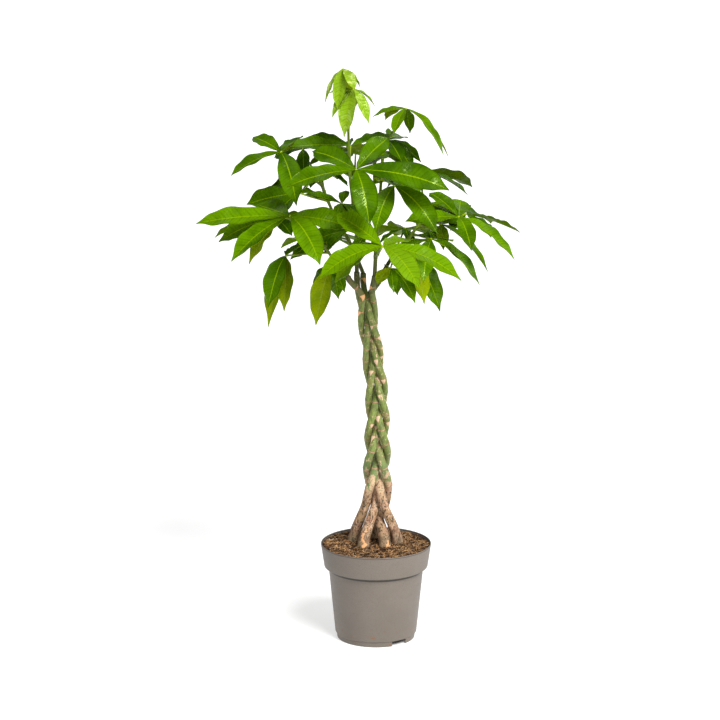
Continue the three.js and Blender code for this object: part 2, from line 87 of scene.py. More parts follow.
STEM_COUNT = 5
BRAID_LOW_PITCH = 260  # height in which a stem comes back to its place, at the bottom
BRAID_HIGH_PITCH = 370  # the same at the top, where the braid is looser
BRAID_PHASE_HEIGHT = 265  # where the first stem crosses the middle from the left
BRAID_START = 250
BRAID_END = 600
LEG_EASE = 28  # how gradually a leg turns into its strand of the braid
TOP_RADIUS = 5.3
SOIL_RADIUS_GAIN = 4.1
TAPER_TOP = 620
TAPER_SPAN = 460
TAPER_POWER = 2.1
FLARE = 2.8
FLARE_FADE = 16
BRAID_WIDTH_PER_RADIUS = 2.25
BRAID_DEPTH_PER_RADIUS = 2.4
BRAID_EDGE_SWELL = 0.1  # how much further out a stem swings where it turns at the edge
TRUNK_FOOT_X = 2
TRUNK_TOP_X = -19
LEAN_START = 400
LEAN_END = 640
# Where each stem stands in the soil (x, y), and where it ends above the braid (x, y, z).
STEM_BASES = [[-22, -22], [-3, 34], [36, 5], [15, -16], [-38, 14]]
STEM_TOPS = [[8, 27, 632], [-3, -14, 640], [-22, 26, 636], [-33, 8, 642], [-48, -18, 641]]

WIDTH_PER_LENGTH = 0.2  # half the blade's width
MOST_HALF_WIDTH = 21
BLADE_RISE = 1.12  # the powers that shape a blade's outline towards root and tip
BLADE_FALL = 0.88
BEND_OUT = 0.6  # how far along a leaflet its bend lies
BEND_DROP = 0.25  # the share of a leaflet's fall that comes before the bend
BEND_CLIMB = 0.75
ARCH = (0.02, 0.1)
WIDTH_SPREAD = (0.88, 1.12)
ROLL_DEGREES = (-14, 14)
FRONT_TILT = 36
BACK_TILT = 22
LIGHT_PULL = 130  # how strongly the leaves turn to the front
OUTWARD_SHARE = 0.6
STALK_RADIUS = 1.5
STALK_FOOT_GAIN = 1.25
SEED = 20

# The green shoot above each stem: points along it after the stem's top, and its radii.
SHOOTS = [
    {"points": [[28, 32, 664], [58, 30, 700], [84, 38, 736]], "radii": [3.4, 2.2]},
    {"points": [[0, -24, 700], [6, -20, 780], [12, 10, 862]], "radii": [3.6, 2.0]},
    {"points": [[-42, 44, 680], [-72, 66, 730], [-96, 84, 786]], "radii": [3.4, 2.2]},
    {"points": [[-34, 10, 720], [-44, 14, 800], [-48, 2, 925]], "radii": [3.6, 1.9]},
    {"points": [[-58, -24, 656], [-74, -34, 676], [-90, -44, 700]], "radii": [3.0, 2.2]},
]

# Each leaf: the shoot it grows on (1 to 5), how far up that shoot its stalk leaves (0 to 1), the
# hub where its leaflets meet, how far its face tilts towards the light and how slim its
# leaflets are if that is unlike the others, and each leaflet's tip from the hub (right, back, up).
LEAVES = [
    # the youngest leaves, at the very top
    dict(shoot=4, start=1.0, hub=[-56, 0, 988], tilt=12, slim=0.75, tips=[
        [-30, 5, -57], [-9, -30, -65], [20, -40, -31], [29, 20, -34], [10, 35, -60]]),
    dict(shoot=4, start=0.92, hub=[-39, -15, 956], tilt=8, slim=0.85, tips=[
        [-41, 10, -8], [-35, -15, -45], [-15, -30, -76], [26, -15, -55], [36, 10, -29],
        [5, 50, -35]]),
    dict(shoot=2, start=0.98, hub=[49, 20, 919], tilt=8, slim=0.75, tips=[
        [-55, 25, -18], [-34, 55, -28], [-21, -50, -36], [63, -20, -75], [72, 25, -85],
        [8, 50, -51]]),
    dict(shoot=4, start=0.7, hub=[-44, 30, 854], tilt=26, tips=[
        [71, 55, 10], [-100, -22, 2], [-76, 38, 6], [20, 95, -35], [-30, 100, -30]]),
    # the upper left
    dict(shoot=3, start=0.95, hub=[-160, 5, 848], tilt=28, tips=[
        [-49, 60, 15], [32, 75, 13], [-83, -20, -37], [27, -60, -81], [10, 100, -15]]),
    dict(shoot=3, start=0.8, hub=[-130, 50, 770], tips=[
        [-90, 0, -20], [-60, 80, -15], [-45, -40, -45], [50, 60, -25], [5, 110, -20]]),
    dict(shoot=3, start=1.0, hub=[-125, 80, 840], tips=[
        [2, -40, -46], [-50, 60, -25], [45, 55, -10], [0, 115, -20]]),
    # the large middle leaves that face the front
    dict(shoot=2, start=0.6, hub=[-34, -110, 838], tips=[
        [-114, -20, -26], [-73, 65, 19], [54, 60, 43], [153, -10, -33], [22, -60, -84],
        [50, 105, 10]]),
    dict(shoot=2, start=0.5, hub=[29, -70, 804], tips=[
        [-32, -50, -71], [70, -40, -72], [51, 45, -27], [-23, 95, -10], [30, 100, -5]]),
    dict(shoot=2, start=0.2, hub=[9, -150, 718], tilt=27, tips=[
        [-77, 45, 44], [-103, -20, -50], [59, -60, -58], [130, 10, -60], [46, 85, -5],
        [-78, 45, -71]]),
    dict(shoot=2, start=0.9, hub=[20, 70, 857], tilt=20, tips=[
        [22, -60, -26], [56, 0, -38], [41, -30, -47], [25, 95, -10], [-35, 80, -25]]),
    # small leaves deep inside, seen through the gaps
    dict(shoot=4, start=0.3, hub=[-58, -6, 762], tilt=18, tips=[
        [-62, 10, 14], [-10, -34, -16], [6, 46, 14], [32, -30, -22], [10, -34, -28]]),
    dict(shoot=2, start=0.25, hub=[-10, -60, 724], tilt=24, tips=[
        [-34, -20, -41], [-38, 30, 6], [14, -10, -40]]),
    # the left
    dict(shoot=5, start=1.0, hub=[-144, -60, 752], tips=[
        [-156, -5, -13], [-96, -50, -68], [-121, 40, -53], [-69, 10, -85], [51, -60, -72],
        [98, -10, -18], [-57, 78, 4]]),
    dict(shoot=5, start=0.8, hub=[-152, -40, 680], tips=[
        [-29, -30, -83], [-30, 5, -124], [-3, 0, -96], [20, 60, 3]]),
    dict(shoot=5, start=0.5, hub=[-78, -20, 654], tips=[
        [-24, -15, -95], [14, 20, -58], [-30, 45, -45], [25, -30, -35]]),
    dict(shoot=5, start=0.95, hub=[-49, -20, 719], tips=[
        [-33, -30, -27], [-96, 20, -54], [30, 10, -12], [-20, 65, -25]]),
    # the right
    dict(shoot=1, start=1.0, hub=[138, -20, 742], tilt=14, tips=[
        [-90, -20, -4], [-49, 60, 30], [-49, 90, 7], [6, 90, 12], [94, 0, -73], [19, -60, -46]]),
    dict(shoot=1, start=0.7, hub=[92, -8, 702], tilt=14, tips=[
        [-61, -30, -14], [-14, -50, -64], [82, 0, -79], [30, 85, -20], [-25, 85, -10]]),
    dict(shoot=1, start=0.4, hub=[24, 0, 650], tips=[
        [-23, -38, -20], [5, -30, -36], [12, 20, -51], [42, 0, -61], [12, 88, -40]]),
    dict(shoot=1, start=0.5, hub=[66, 20, 660], tips=[
        [15, -20, -72], [43, 20, -94], [30, 60, -10], [-25, 80, -15]]),
    dict(shoot=1, start=0.9, hub=[110, 50, 716], tilt=10, tips=[
        [80, 0, -82], [3, -40, -37], [-35, 80, -25], [35, 95, -15]]),
]

# The back of the crown: whole leaves fanned out by rule. Facing is in degrees from +X.
BACK_LEAVES = [
    dict(shoot=3, start=0.9, hub=[-95, 150, 795], facing=105, length=110),
    dict(shoot=3, start=0.6, hub=[-175, 120, 715], facing=150, length=105),
    dict(shoot=4, start=0.5, hub=[-35, 165, 825], facing=95, length=100),
    dict(shoot=1, start=1.0, hub=[75, 150, 790], facing=60, length=110),
    dict(shoot=1, start=0.8, hub=[155, 125, 720], facing=30, length=95),
    dict(shoot=1, start=0.3, hub=[50, 150, 690], facing=70, length=95),
    dict(shoot=3, start=0.4, hub=[-85, 140, 680], facing=120, length=95),
]
FAN_LEAFLETS = 6
FAN_DEGREES = 300
FAN_SHORTENING = 0.4  # how much shorter the outermost leaflets are
FAN_DROOP = 0.35

# ---------------- looks

# Colours are linear, as a material takes them.
POT_TAUPE = (0.168, 0.141, 0.117)
POT_TAUPE_DARK = (0.14, 0.117, 0.095)
POT_GRAIN = (0.085, 0.07, 0.056)
DIRT_BROWN = (0.2, 0.085, 0.028)
# Painted shade: the colour of the dark lines under the pot's band and lip.
LINE_SHADE = (0.045, 0.038, 0.03)
SOIL_DARK = (0.01, 0.005, 0.002)
SOIL_MID = (0.06, 0.027, 0.01)
CRUMB_TAN = (0.4, 0.2, 0.08)
FIBRE_TAN = (0.62, 0.37, 0.17)
FIBRE_DARK = (0.06, 0.024, 0.009)
SPECK_WHITE = (0.7, 0.66, 0.6)
BARK_TAN = (0.42, 0.265, 0.135)
BARK_GREY = (0.07, 0.052, 0.034)
BARK_DARK = (0.03, 0.022, 0.015)
BARK_PALE = (0.66, 0.44, 0.28)
BARK_PINK = (0.39, 0.2, 0.12)
STEM_GREEN = (0.19, 0.245, 0.05)
STEM_GREEN_DARK = (0.095, 0.125, 0.03)
STEM_OLIVE = (0.22, 0.2, 0.055)
# Painted shade: the darker colour of the stems and stalks inside the crown, where its shadow falls.
STEM_CROWN_SHADE = (0.055, 0.05, 0.015)
STEM_COOL = (0.125, 0.19, 0.07)
BARK_OLIVE = (0.15, 0.12, 0.07)
SCAR_TAN = (0.68, 0.47, 0.3)
SCAR_EDGE = (0.25, 0.12, 0.06)
TORN_ORANGE = (0.8, 0.42, 0.19)
LEAF_GREEN = (0.098, 0.22, 0.0003)
LEAF_DEEP = (0.026, 0.078, 0.0003)
LEAF_YOUNG = (0.125, 0.26, 0.0008)
LEAF_NEW = (0.24, 0.4, 0.012)
# Painted sheen: pale patches on the newest leaves stand for their glossy highlights.
LEAF_PAINTED_SHEEN = (0.52, 0.68, 0.16)
LEAF_UNDER = (0.28, 0.36, 0.001)
LEAF_UNDER_GREY = (0.17, 0.25, 0.002)
VEIN_GREEN = (0.21, 0.34, 0.001)
VEIN_UNDER = (0.27, 0.36, 0.03)
LEAF_SHEEN = (0.8, 1.0, 0.35)
STALK_GREEN = (0.13, 0.21, 0.005)
STALK_DARK = (0.085, 0.12, 0.012)
HUB_YELLOW = (0.3, 0.42, 0.003)

# Heights in metres over which the colours change.
POT_DIRT_HEIGHTS = (0.075, 0.01)
BARK_END = 0.283
BARK_END_BLUR = 0.006
OLIVE_FEET = (0.205, 0.17)
PALE_UPPER_BARK = (0.29, 0.335)
COOL_STEM = (0.36, 0.29)
# Painted shade: heights over which the crown's shadow is painted on the stems, then on the lower
# stalks.
CROWN_SHADE_ON_STEMS = (0.57, 0.64)
CROWN_SHADE_ON_STALKS = (0.73, 0.63)
ORANGE_SCARS = (0.553, 0.565)
# Painted shade: dark lines painted under the band's ledge and under the lip, where shadow falls:
# height and reach in metres.
SHADE_LINES = [(0.1235, 0.0022), (0.1662, 0.0007)]

SHOOT_STEPS = 60
SHOOT_SIDES = 14
STALK_STEPS = 22
STALK_SIDES = 10
BLADE_LENGTH_STEPS = 56
BLADE_WIDTH_STEPS = 12
BLADE_THICKNESS = 0.7
ROOT_HALF_WIDTH = 0.7
ROOT_SHARE = 0.1
TIP_HALF_WIDTH = 0.12
VEIN_PAIRS = 11
VEIN_LEAN = 0.9  # how far a side vein runs towards the tip on its way to the edge
FINE_SEED = 7

# ---------------- small helpers

UP = np.array([0.0, 0.0, 1.0])
RIGHT = np.array([1.0, 0.0, 0.0])
SQUARE = [(-1, -1), (1, -1), (1, 1), (-1, 1)]


def smoothstep(low, high, value):
    t = min(1.0, max(0.0, (value - low) / (high - low)))
    return t * t * (3 - 2 * t)


def mix(a, b, t):
    return a + (b - a) * t


def seeded_draw(seed):
    """A repeatable source of numbers between 0 and 1."""
    states = 2 ** 32
    state = seed

    def draw():
        nonlocal state
        state = (state * 1664525 + 1013904223) % states
        return state / states

    return draw


def unit(v):
    return v / np.linalg.norm(v)


def angle_between(angle, facing):
    """How far angle is turned from facing, from -pi to pi."""
    return (angle - facing + math.pi) % (2 * math.pi) - math.pi


def turned_about(v, axis, angle):
    """v turned about a unit axis."""
    return (v * math.cos(angle) + np.cross(axis, v) * math.sin(angle)
            + axis * (axis @ v) * (1 - math.cos(angle)))


def curve_point(start, bend, end, t):
    return start * (1 - t) ** 2 + bend * (2 * t * (1 - t)) + end * t * t


def circle(radius, sides):
    """Places (x, y) round a circle, from +X on."""
    turns = [2 * math.pi * side / sides for side in range(sides)]
    return [(radius * math.cos(turn), radius * math.sin(turn)) for turn in turns]


# ---------------- meshes


class Builder:
    """Collects several closed skins into one mesh, with named numbers for every point."""

    def __init__(self):
        self.points = []
        self.faces = []
        self.values = {}
        self.count = 0

    def add(self, points, faces, **values):
        points = np.asarray(points, float)
        self.points.append(points)
        self.faces.extend([tuple(int(i) + self.count for i in face) for face in faces])
        self.count += len(points)
        for name, value in values.items():
            column = np.broadcast_to(np.asarray(value, float), (len(points),)).copy()
            self.values.setdefault(name, []).append(column)

    def add_tube(self, centres, radii, sides, level_ends=False, shape=None, **values):
        points = tube_points(centres, radii, sides, level_ends, shape)
        self.add(points, tube_faces(len(centres), sides), **values)

    def make(self, name, *materials, smooth=True):
        mesh = bpy.data.meshes.new(name)
        points = np.concatenate(self.points) * MM
        mesh.from_pydata(points.tolist(), [], self.faces)
        for key, columns in self.values.items():
            attribute = mesh.attributes.new(key, "FLOAT", "POINT")
            attribute.data.foreach_set("value", np.concatenate(columns).astype(np.float32))
        for material in materials:
            mesh.materials.append(material)
        mesh.polygons.foreach_set("use_smooth", [smooth] * len(mesh.polygons))
        mesh.update()
        return linked(name, mesh)


def linked(name, data):
    """A new object in the scene with this data."""
    made = bpy.data.objects.new(name, data)
    bpy.context.scene.collection.objects.link(made)
    return made


def ring_quads(first, rings, sides):
    """Quads between rings of points, closed round each ring. first is the first point's number."""
    quads = []
    for ring in range(rings - 1):
        for side in range(sides):
            a = first + ring * sides + side
            b = first + ring * sides + (side + 1) % sides
            quads.append((a, b, b + sides, a + sides))
    return quads


def tube_faces(rings, sides):
    """Faces of a tube of rings, with a flat cap at each end."""
    last = (rings - 1) * sides
    caps = [tuple(reversed(range(sides))), tuple(last + side for side in range(sides))]
    return ring_quads(0, rings, sides) + caps


def tube_points(centres, radii, sides, level_ends=False, shape=None):
    """Points of a round tube. shape(ring, angle) may swell or pinch it, as a factor."""
    centres = np.asarray(centres, float)
    final = len(centres) - 1
    points = []
    for index, centre in enumerate(centres):
        before = centres[max(0, index - 1)]
        after = centres[min(final, index + 1)]
        along = unit(after - before)
        if level_ends and index in (0, final):
            along = UP
        across = unit(RIGHT - along * along[0])
        outward = np.cross(along, across)
        for side in range(sides):
            angle = 2 * math.pi * side / sides
            radius = radii[index] * (shape(index, angle) if shape else 1.0)
            points.append(centre + across * radius * math.cos(angle)
                          + outward * radius * math.sin(angle))
    return np.array(points)


def settle(piece, slot, *nodes):
    """Ties a finished piece to the frame: it rides on the plant's one body."""
    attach(piece, "root")
    if nodes:
        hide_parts(*nodes)


# ---------------- material nodes


class Look:
    """A material's node tree, with one short call for each kind of node that is used here."""

    def __init__(self, name):
        self.material = bpy.data.materials.new(name)
        self.material.use_nodes = True
        self.tree = self.material.node_tree
        self.tree.nodes.clear()
        self.surface = self.node("BsdfPrincipled")
        self.node("OutputMaterial", {"Surface": self.surface.outputs[0]})
        self.place = self.node("TexCoord").outputs["Object"]

    def node(self, kind, inputs=None, **settings):
        made = self.tree.nodes.new("ShaderNode" + kind)
        for key, value in settings.items():
            setattr(made, key, value)
        for key, value in (inputs or {}).items():
            self.plug(made.inputs[key], value)
        return made

    def plug(self, socket, value):
        if isinstance(value, bpy.types.NodeSocket):
            self.tree.links.new(value, socket)
        elif isinstance(value, tuple) and len(value) == 3 and len(socket.default_value) == 4:
            socket.default_value = (*value, 1)
        else:
            socket.default_value = value

    def math(self, operation, *values):
        return self.node("Math", dict(enumerate(values)), operation=operation).outputs[0]

    def times(self, value, factor, more=0):
        """value * factor + more"""
        if more == 0:
            return self.math("MULTIPLY", value, factor)
        return self.math("MULTIPLY_ADD", value, factor, more)

    def away(self, value, middle):
        """How far a value is from a middle one, on either side."""
        return self.math("ABSOLUTE", self.math("SUBTRACT", value, middle))

    def attribute(self, name):
        return self.node("Attribute", attribute_name=name).outputs["Fac"]

    def noise(self, scale, detail=3.0, rough=0.55, stretch=(1, 1, 1), offset=(0, 0, 0)):
        moved = self.node("Mapping", {"Vector": self.place, "Scale": stretch, "Location": offset})
        fineness = {"Scale": scale, "Detail": detail, "Roughness": rough}
        return self.node("TexNoise", {"Vector": moved.outputs[0], **fineness}).outputs["Fac"]

    def between(self, value, low, high, steps="SMOOTHSTEP"):
        """0 where value is at low or beyond, 1 where it is at high or beyond."""
        limits = {"Value": value, "From Min": low, "From Max": high}
        return self.node("MapRange", limits, interpolation_type=steps).outputs["Result"]

    def blend(self, share, first, second):
        # A Mix node's colours come after its numbers and vectors: inputs 6 and 7, output 2.
        return self.node("Mix", {"Factor": share, 6: first, 7: second}, data_type="RGBA").outputs[2]

    def layers(self, colour, *layers):
        """Lays colours over a first one. Each is given as (colour, share), or as (colour, value,
        low, high) where its share grows from 0 at low to 1 at high, or to a fifth number."""
        for layer, share, *bounds in layers:
            if bounds:
                share = self.between(share, *bounds[:2])
            if len(bounds) == 3:
                share = self.times(share, bounds[2])
            colour = self.blend(share, colour, layer)
        return colour

    def height(self):
        return self.node("SeparateXYZ", {0: self.place}).outputs["Z"]

    def relief(self, *layers):
        """Bumps on one another, each given as (value, strength, height)."""
        under = {}
        for value, strength, distance in layers:
            bump = {"Height": value, "Strength": strength, "Distance": distance, **under}
            under = {"Normal": self.node("Bump", bump).outputs["Normal"]}
        return under["Normal"]

    def finish(self, colour, roughness, gloss, **more):
        """Sets the surface. more gives its other inputs, with _ for each space of their names."""
        looks = {"Base_Color": colour, "Roughness": roughness, "Specular_IOR_Level": gloss, **more}
        for key, value in looks.items():
            self.plug(self.surface.inputs[key.replace("_", " ")], value)
        return self.material


def pot_material():
    """Taupe plastic with a fine speckle, low smudges, and painted shade lines under band and lip.
    """
    look = Look("pot_plastic")
    height = look.height()
    patches = look.noise(9, 4)
    grain = look.noise(900, 2)
    speckle = look.noise(1500, 3, 0.7)
    smudge = look.noise(75, 5, 0.75, stretch=(1, 1, 2.2), offset=(3.1, 0.4, 1.7))
    scuffs = look.noise(30, 5, 0.6, stretch=(1, 1, 6))
    dirt = look.times(look.between(height, *POT_DIRT_HEIGHTS), 0.11, smudge)
    # painted shade: a dark line under the band's ledge and one under the lip
    lines = [(LINE_SHADE, look.away(height, level), reach, reach / 2)
             for level, reach in SHADE_LINES]
    colour = look.layers(
        POT_TAUPE,
        (POT_TAUPE_DARK, patches, 0.35, 0.7),
        (POT_GRAIN, speckle, 0.54, 0.66),
        (DIRT_BROWN, dirt, 0.685, 0.75),
        *lines,
    )
    normal = look.relief((grain, 0.12, 0.0002), (scuffs, 0.1, 0.0004))
    return look.finish(colour, look.times(scuffs, 0.16, 0.43), 0.45, Normal=normal)


def soil_material():
    look = Look("soil_mix")
    coarse = look.noise(140, 5, 0.7)
    fine = look.noise(700, 4, 0.7)
    colour = look.layers(
        SOIL_DARK,
        (SOIL_MID, coarse, 0.38, 0.66),
        (FIBRE_DARK, fine, 0.6, 0.74),
    )
    normal = look.relief((fine, 0.7, 0.0012), (coarse, 0.6, 0.002))
    return look.finish(colour, 0.95, 0.25, Normal=normal)


def crumb_material(name, dark, pale):
    """Bits of the mix, each of its own shade from dark to pale, and darker in patches."""
    look = Look(name)
    mottle = look.noise(900, 3, 0.6)
    hollow = look.between(look.noise(45, 3, 0.6), 0.46, 0.6)
    share = look.times(mottle, 0.5, look.attribute("shade"))
    share = look.times(hollow, -0.3, share)
    colour = look.layers(dark, (pale, share, 0.2, 1.15))
    return look.finish(colour, 0.85, 0.3, Normal=look.relief((mottle, 0.5, 0.0005)))


def brown_bark(look, height, streaks, patches, specks, tint):
    """The flaking bark of the legs, in tan, pink, pale and dark patches, with olive feet."""
    upper = look.between(look.times(tint, 0.12, height), *PALE_UPPER_BARK)
    upper = look.times(upper, look.between(specks, 0.56, 0.5))
    return look.layers(
        BARK_TAN,
        (BARK_PINK, tint, 0.42, 0.62),
        (BARK_PALE, patches, 0.51, 0.58),
        (BARK_GREY, streaks, 0.5, 0.42),
        (BARK_DARK, specks, 0.55, 0.6),
        (BARK_OLIVE, height, *OLIVE_FEET, 0.5),
        (BARK_PALE, look.times(upper, 0.6)),
    )


def green_bark(look, height, streaks, tint):
    """The smooth green stems, cooler below, flecked with tan, and darkened under the crown by
    painted shade.
    """
    flecks = look.between(look.noise(380, 4, 0.6, stretch=(1, 1, 0.5)), 0.56, 0.62)
    flecked = look.between(look.noise(60, 4, 0.7, offset=(1, 5, 2)), 0.48, 0.58)
    return look.layers(
        STEM_GREEN_DARK,
        (STEM_GREEN, streaks, 0.38, 0.58),
        (STEM_OLIVE, tint, 0.5, 0.66),
        (STEM_COOL, height, *COOL_STEM, 0.6),
        (SCAR_TAN, look.times(flecks, flecked)),
        # painted shade of the crown on the stems' tops
        (STEM_CROWN_SHADE, height, *CROWN_SHADE_ON_STEMS, 0.75),
    )


def bark_material():
    """Brown and flaking below, green and smooth above, with tan scars where leaves fell."""
    look = Look("stem_bark")
    height = look.height()
    streaks = look.noise(210, 6, 0.78, stretch=(1, 1, 0.36))
    patches = look.noise(95, 6, 0.78, stretch=(1, 1, 0.8))
    fine = look.noise(900, 3, 0.6)
    specks = look.noise(360, 5, 0.7, stretch=(1, 1, 0.7))
    tint = look.noise(38, 3, 0.6, offset=(0.4, 2.2, 0.9))
    scar = look.attribute("scar")
    level = look.math("ADD", height, look.times(patches, 0.2, -0.1))
    green = green_bark(look, height, streaks, tint)
    colour = look.layers(
        brown_bark(look, height, streaks, patches, specks, tint),
        (green, level, BARK_END - BARK_END_BLUR, BARK_END + BARK_END_BLUR),
        (BARK_PALE, look.away(level, BARK_END), 2 * BARK_END_BLUR, 0.0, 0.75),
        (SCAR_EDGE, scar, 0.12, 0.3),
        (look.layers(SCAR_TAN, (TORN_ORANGE, height, *ORANGE_SCARS)), scar, 0.3, 0.55),
        (TORN_ORANGE, look.attribute("torn"), 0.4, 0.6),
    )
    normal = look.relief((streaks, 0.6, 0.0014), (specks, 0.4, 0.0006), (fine, 0.3, 0.0004))
    smooth = look.between(level, 0.25, 0.32)
    return look.finish(colour, look.times(smooth, -0.25, 0.8), 0.35, Normal=normal)


def stalk_material():
    look = Look("green_stalk")
    streaks = look.noise(160, 3, 0.6, stretch=(1, 1, 0.3))
    colour = look.layers(
        STALK_DARK,
        (STALK_GREEN, streaks, 0.35, 0.7),
        # painted shade of the crown on the lower stalks
        (STEM_CROWN_SHADE, look.height(), *CROWN_SHADE_ON_STALKS, 0.8),
        (HUB_YELLOW, look.attribute("near_hub")),
    )
    return look.finish(colour, 0.5, 0.2, Normal=look.relief((streaks, 0.2, 0.0005)))


def leaf_veins(look):
    """Masks of the side veins with fainter ones halfway, the troughs beside them, the midrib."""
    out = look.math("ABSOLUTE", look.attribute("across"))
    turn = look.times(out, -VEIN_LEAN, look.times(look.attribute("along"), VEIN_PAIRS))
    phase = look.away(look.math("FRACT", turn), 0.5)
    fade = look.math("SUBTRACT", 1.0, look.times(out, 0.6))
    halfway = look.times(look.between(phase, 0.08, 0.02), 0.55)
    side_vein = look.math("MAXIMUM", look.between(phase, 0.42, 0.49), halfway)
    trough = look.between(phase, 0.22, 0.38)
    midrib = look.between(out, 0.07, 0.025)
    return look.times(side_vein, fade), look.times(trough, fade), midrib


def leaf_top(look, broad, swell, veins, youth, depth):
    """The upper face: deep green on old leaves, yellow green on new ones with pale patches of
    painted sheen on the newest, and a pale midrib.
    """
    side_vein, trough, midrib = veins
    # painted sheen: pale patches on the newest leaves
    painted_sheen = look.times(look.between(swell, 0.48, 0.62), look.between(youth, 0.85, 1.0))
    return look.layers(
        LEAF_DEEP,
        (LEAF_GREEN, broad, 0.3, 0.62),
        # the young and new greens also carry painted light on the low leaves in front
        (LEAF_YOUNG, look.between(youth, 0.0, 0.6, "LINEAR")),
        (LEAF_NEW, look.between(youth, 0.6, 1.0, "LINEAR")),
        (LEAF_PAINTED_SHEEN, painted_sheen),
        # depth: darker with age on full-grown leaves, and painted shade on the back leaves and
        # shaded leaflets
        (LEAF_DEEP, depth),
        (LEAF_DEEP, look.times(trough, 0.12)),
        (LEAF_DEEP, look.times(side_vein, 0.42)),
        (VEIN_GREEN, look.times(midrib, 0.85)),
    )


def leaf_underside(look, broad, fine, veins, depth):
    side_vein, _, midrib = veins
    return look.layers(
        LEAF_UNDER,
        (LEAF_UNDER_GREY, broad, 0.4, 0.62),
        (LEAF_GREEN, look.times(fine, 0.3)),
        (VEIN_UNDER, look.times(side_vein, 0.6)),
        (VEIN_UNDER, midrib),
        # depth: darker with age, and painted shade at the back and on shaded leaflets
        (LEAF_DEEP, depth),
    )


def leaf_material():
    """A glossy green blade with dark side veins, a pale midrib and a paler, duller underside."""
    look = Look("leaf_blade")
    under = look.attribute("under")
    youth = look.attribute("youth")
    depth = look.attribute("depth")
    broad = look.noise(22, 3)
    fine = look.noise(260, 4, 0.6)
    swell = look.noise(95, 3, 0.6, offset=(0.7, 2.4, 1.1))
    veins = leaf_veins(look)
    colour = look.layers(
        leaf_top(look, broad, swell, veins, youth, depth),
        (leaf_underside(look, broad, fine, veins, depth), under),
    )
    shape = look.times(fine, 0.3, look.times(swell, 2.2, veins[0]))
    shine = look.between(look.noise(30, 2, offset=(1.2, 0.3, 2.1)), 0.52, 0.64)
    shine = look.math("MAXIMUM", shine, look.between(youth, 0.8, 1.0))
    roughness = look.times(under, 0.2, look.times(shine, -0.18, 0.38))
    gloss = look.times(look.times(shine, 0.42, 0.02), look.times(under, -0.85, 1.0))
    normal = look.relief((shape, 0.5, 0.0012))
    return look.finish(colour, roughness, gloss, Normal=normal, Specular_Tint=LEAF_SHEEN)


# ---------------- pot


def rounded(profile, radius, steps=4):
    """The profile with its inner corners rounded off by short curves."""
    made = [profile[0]]
    for before, corner, after in zip(profile, profile[1:], profile[2:]):
        corner = np.array(corner, float)
        to_before = np.array(before, float) - corner
        to_after = np.array(after, float) - corner
        reach = min(radius, 0.45 * np.linalg.norm(to_before), 0.45 * np.linalg.norm(to_after))
        start = corner + unit(to_before) * reach
        end = corner + unit(to_after) * reach
        for step in range(steps + 1):
            made.append(tuple(curve_point(start, corner, end, step / steps)))
    made.append(profile[-1])
    return made


def pot_profile():
    """The pot's section, from the axis out under the floor, up the outside and down the inside."""
    band_foot = POT_HEIGHT - BAND_HEIGHT
    shoulder = band_foot - LEDGE_RISE
    under = FLOOR_LEVEL - FLOOR_THICKNESS
    return [
        (0, 0),
        (CENTRE_DISC_RADIUS, 0),
        (CENTRE_DISC_RADIUS + DISC_SLOPE, under),
        (FOOT_RADIUS - FOOT_RING_WIDTH - DISC_INSET, under),
        (FOOT_RADIUS - FOOT_RING_WIDTH, 0),
        (FOOT_RADIUS, 0),
        (FOOT_RADIUS + FOOT_DRAFT, FOOT_HEIGHT),
        (WALL_FOOT_RADIUS, STEP_HEIGHT),
        (SHOULDER_RADIUS, shoulder),
        (BAND_FOOT_RADIUS, band_foot),
        (RIM_RADIUS, POT_HEIGHT - LIP_EDGE),
        (RIM_RADIUS - LIP_ROUND, POT_HEIGHT),
        (RIM_RADIUS - WALL, POT_HEIGHT),
        (BAND_FOOT_RADIUS - WALL, band_foot + WALL),
        (SHOULDER_RADIUS - WALL, shoulder + WALL),
        (WALL_FOOT_RADIUS - WALL, FLOOR_LEVEL + CORNER_RISE),
        (WALL_FOOT_RADIUS - WALL - CORNER_RUN, FLOOR_LEVEL),
        (CENTRE_DISC_RADIUS + DISC_SLOPE - DISC_INSET, FLOOR_LEVEL),
        (CENTRE_DISC_RADIUS - DISC_INSET, FLOOR_THICKNESS),
        (0, FLOOR_THICKNESS),
    ]


def turned(profile, sides):
    """A closed skin turned from a profile that starts and ends on the axis."""
    body = profile[1:-1]
    points = [(0, 0, profile[0][1])]
    for radius, height in body:
        points += [(x, y, height) for x, y in circle(radius, sides)]
    points.append((0, 0, profile[-1][1]))
    last = len(points) - 1
    end = last - sides
    faces = ring_quads(1, len(body), sides)
    for side in range(sides):
        following = (side + 1) % sides
        faces.append((0, 1 + following, 1 + side))
        faces.append((last, end + side, end + following))
    return points, faces


def drain_cutters():
    """One mesh of the drain holes' round pegs and the foot notches' blocks."""
    cutters = Builder()
    for x, y in circle(DRAIN_CIRCLE, DRAIN_COUNT):
        ends = [(x, y, FLOOR_LEVEL / 2), (x, y, 1.5 * FLOOR_LEVEL)]
        cutters.add_tube(ends, [DRAIN_RADIUS] * 2, DRAIN_SIDES)
    for index in range(NOTCH_COUNT):
        angle = math.radians(NOTCH_ANGLE + 360 * index / NOTCH_COUNT)
        out = np.array([math.cos(angle), math.sin(angle), 0])
        side = np.array([-math.sin(angle), math.cos(angle), 0])
        points = []
        for level in (-NOTCH_HEIGHT, NOTCH_HEIGHT):
            for depth, width in SQUARE:
                points.append(out * (FOOT_RADIUS + depth * NOTCH_DEPTH / 2)
                              + side * width * NOTCH_WIDTH / 2 + UP * level)
        cutters.add(points, tube_faces(2, 4))
    return cutters.make("drain_cutters", smooth=False)


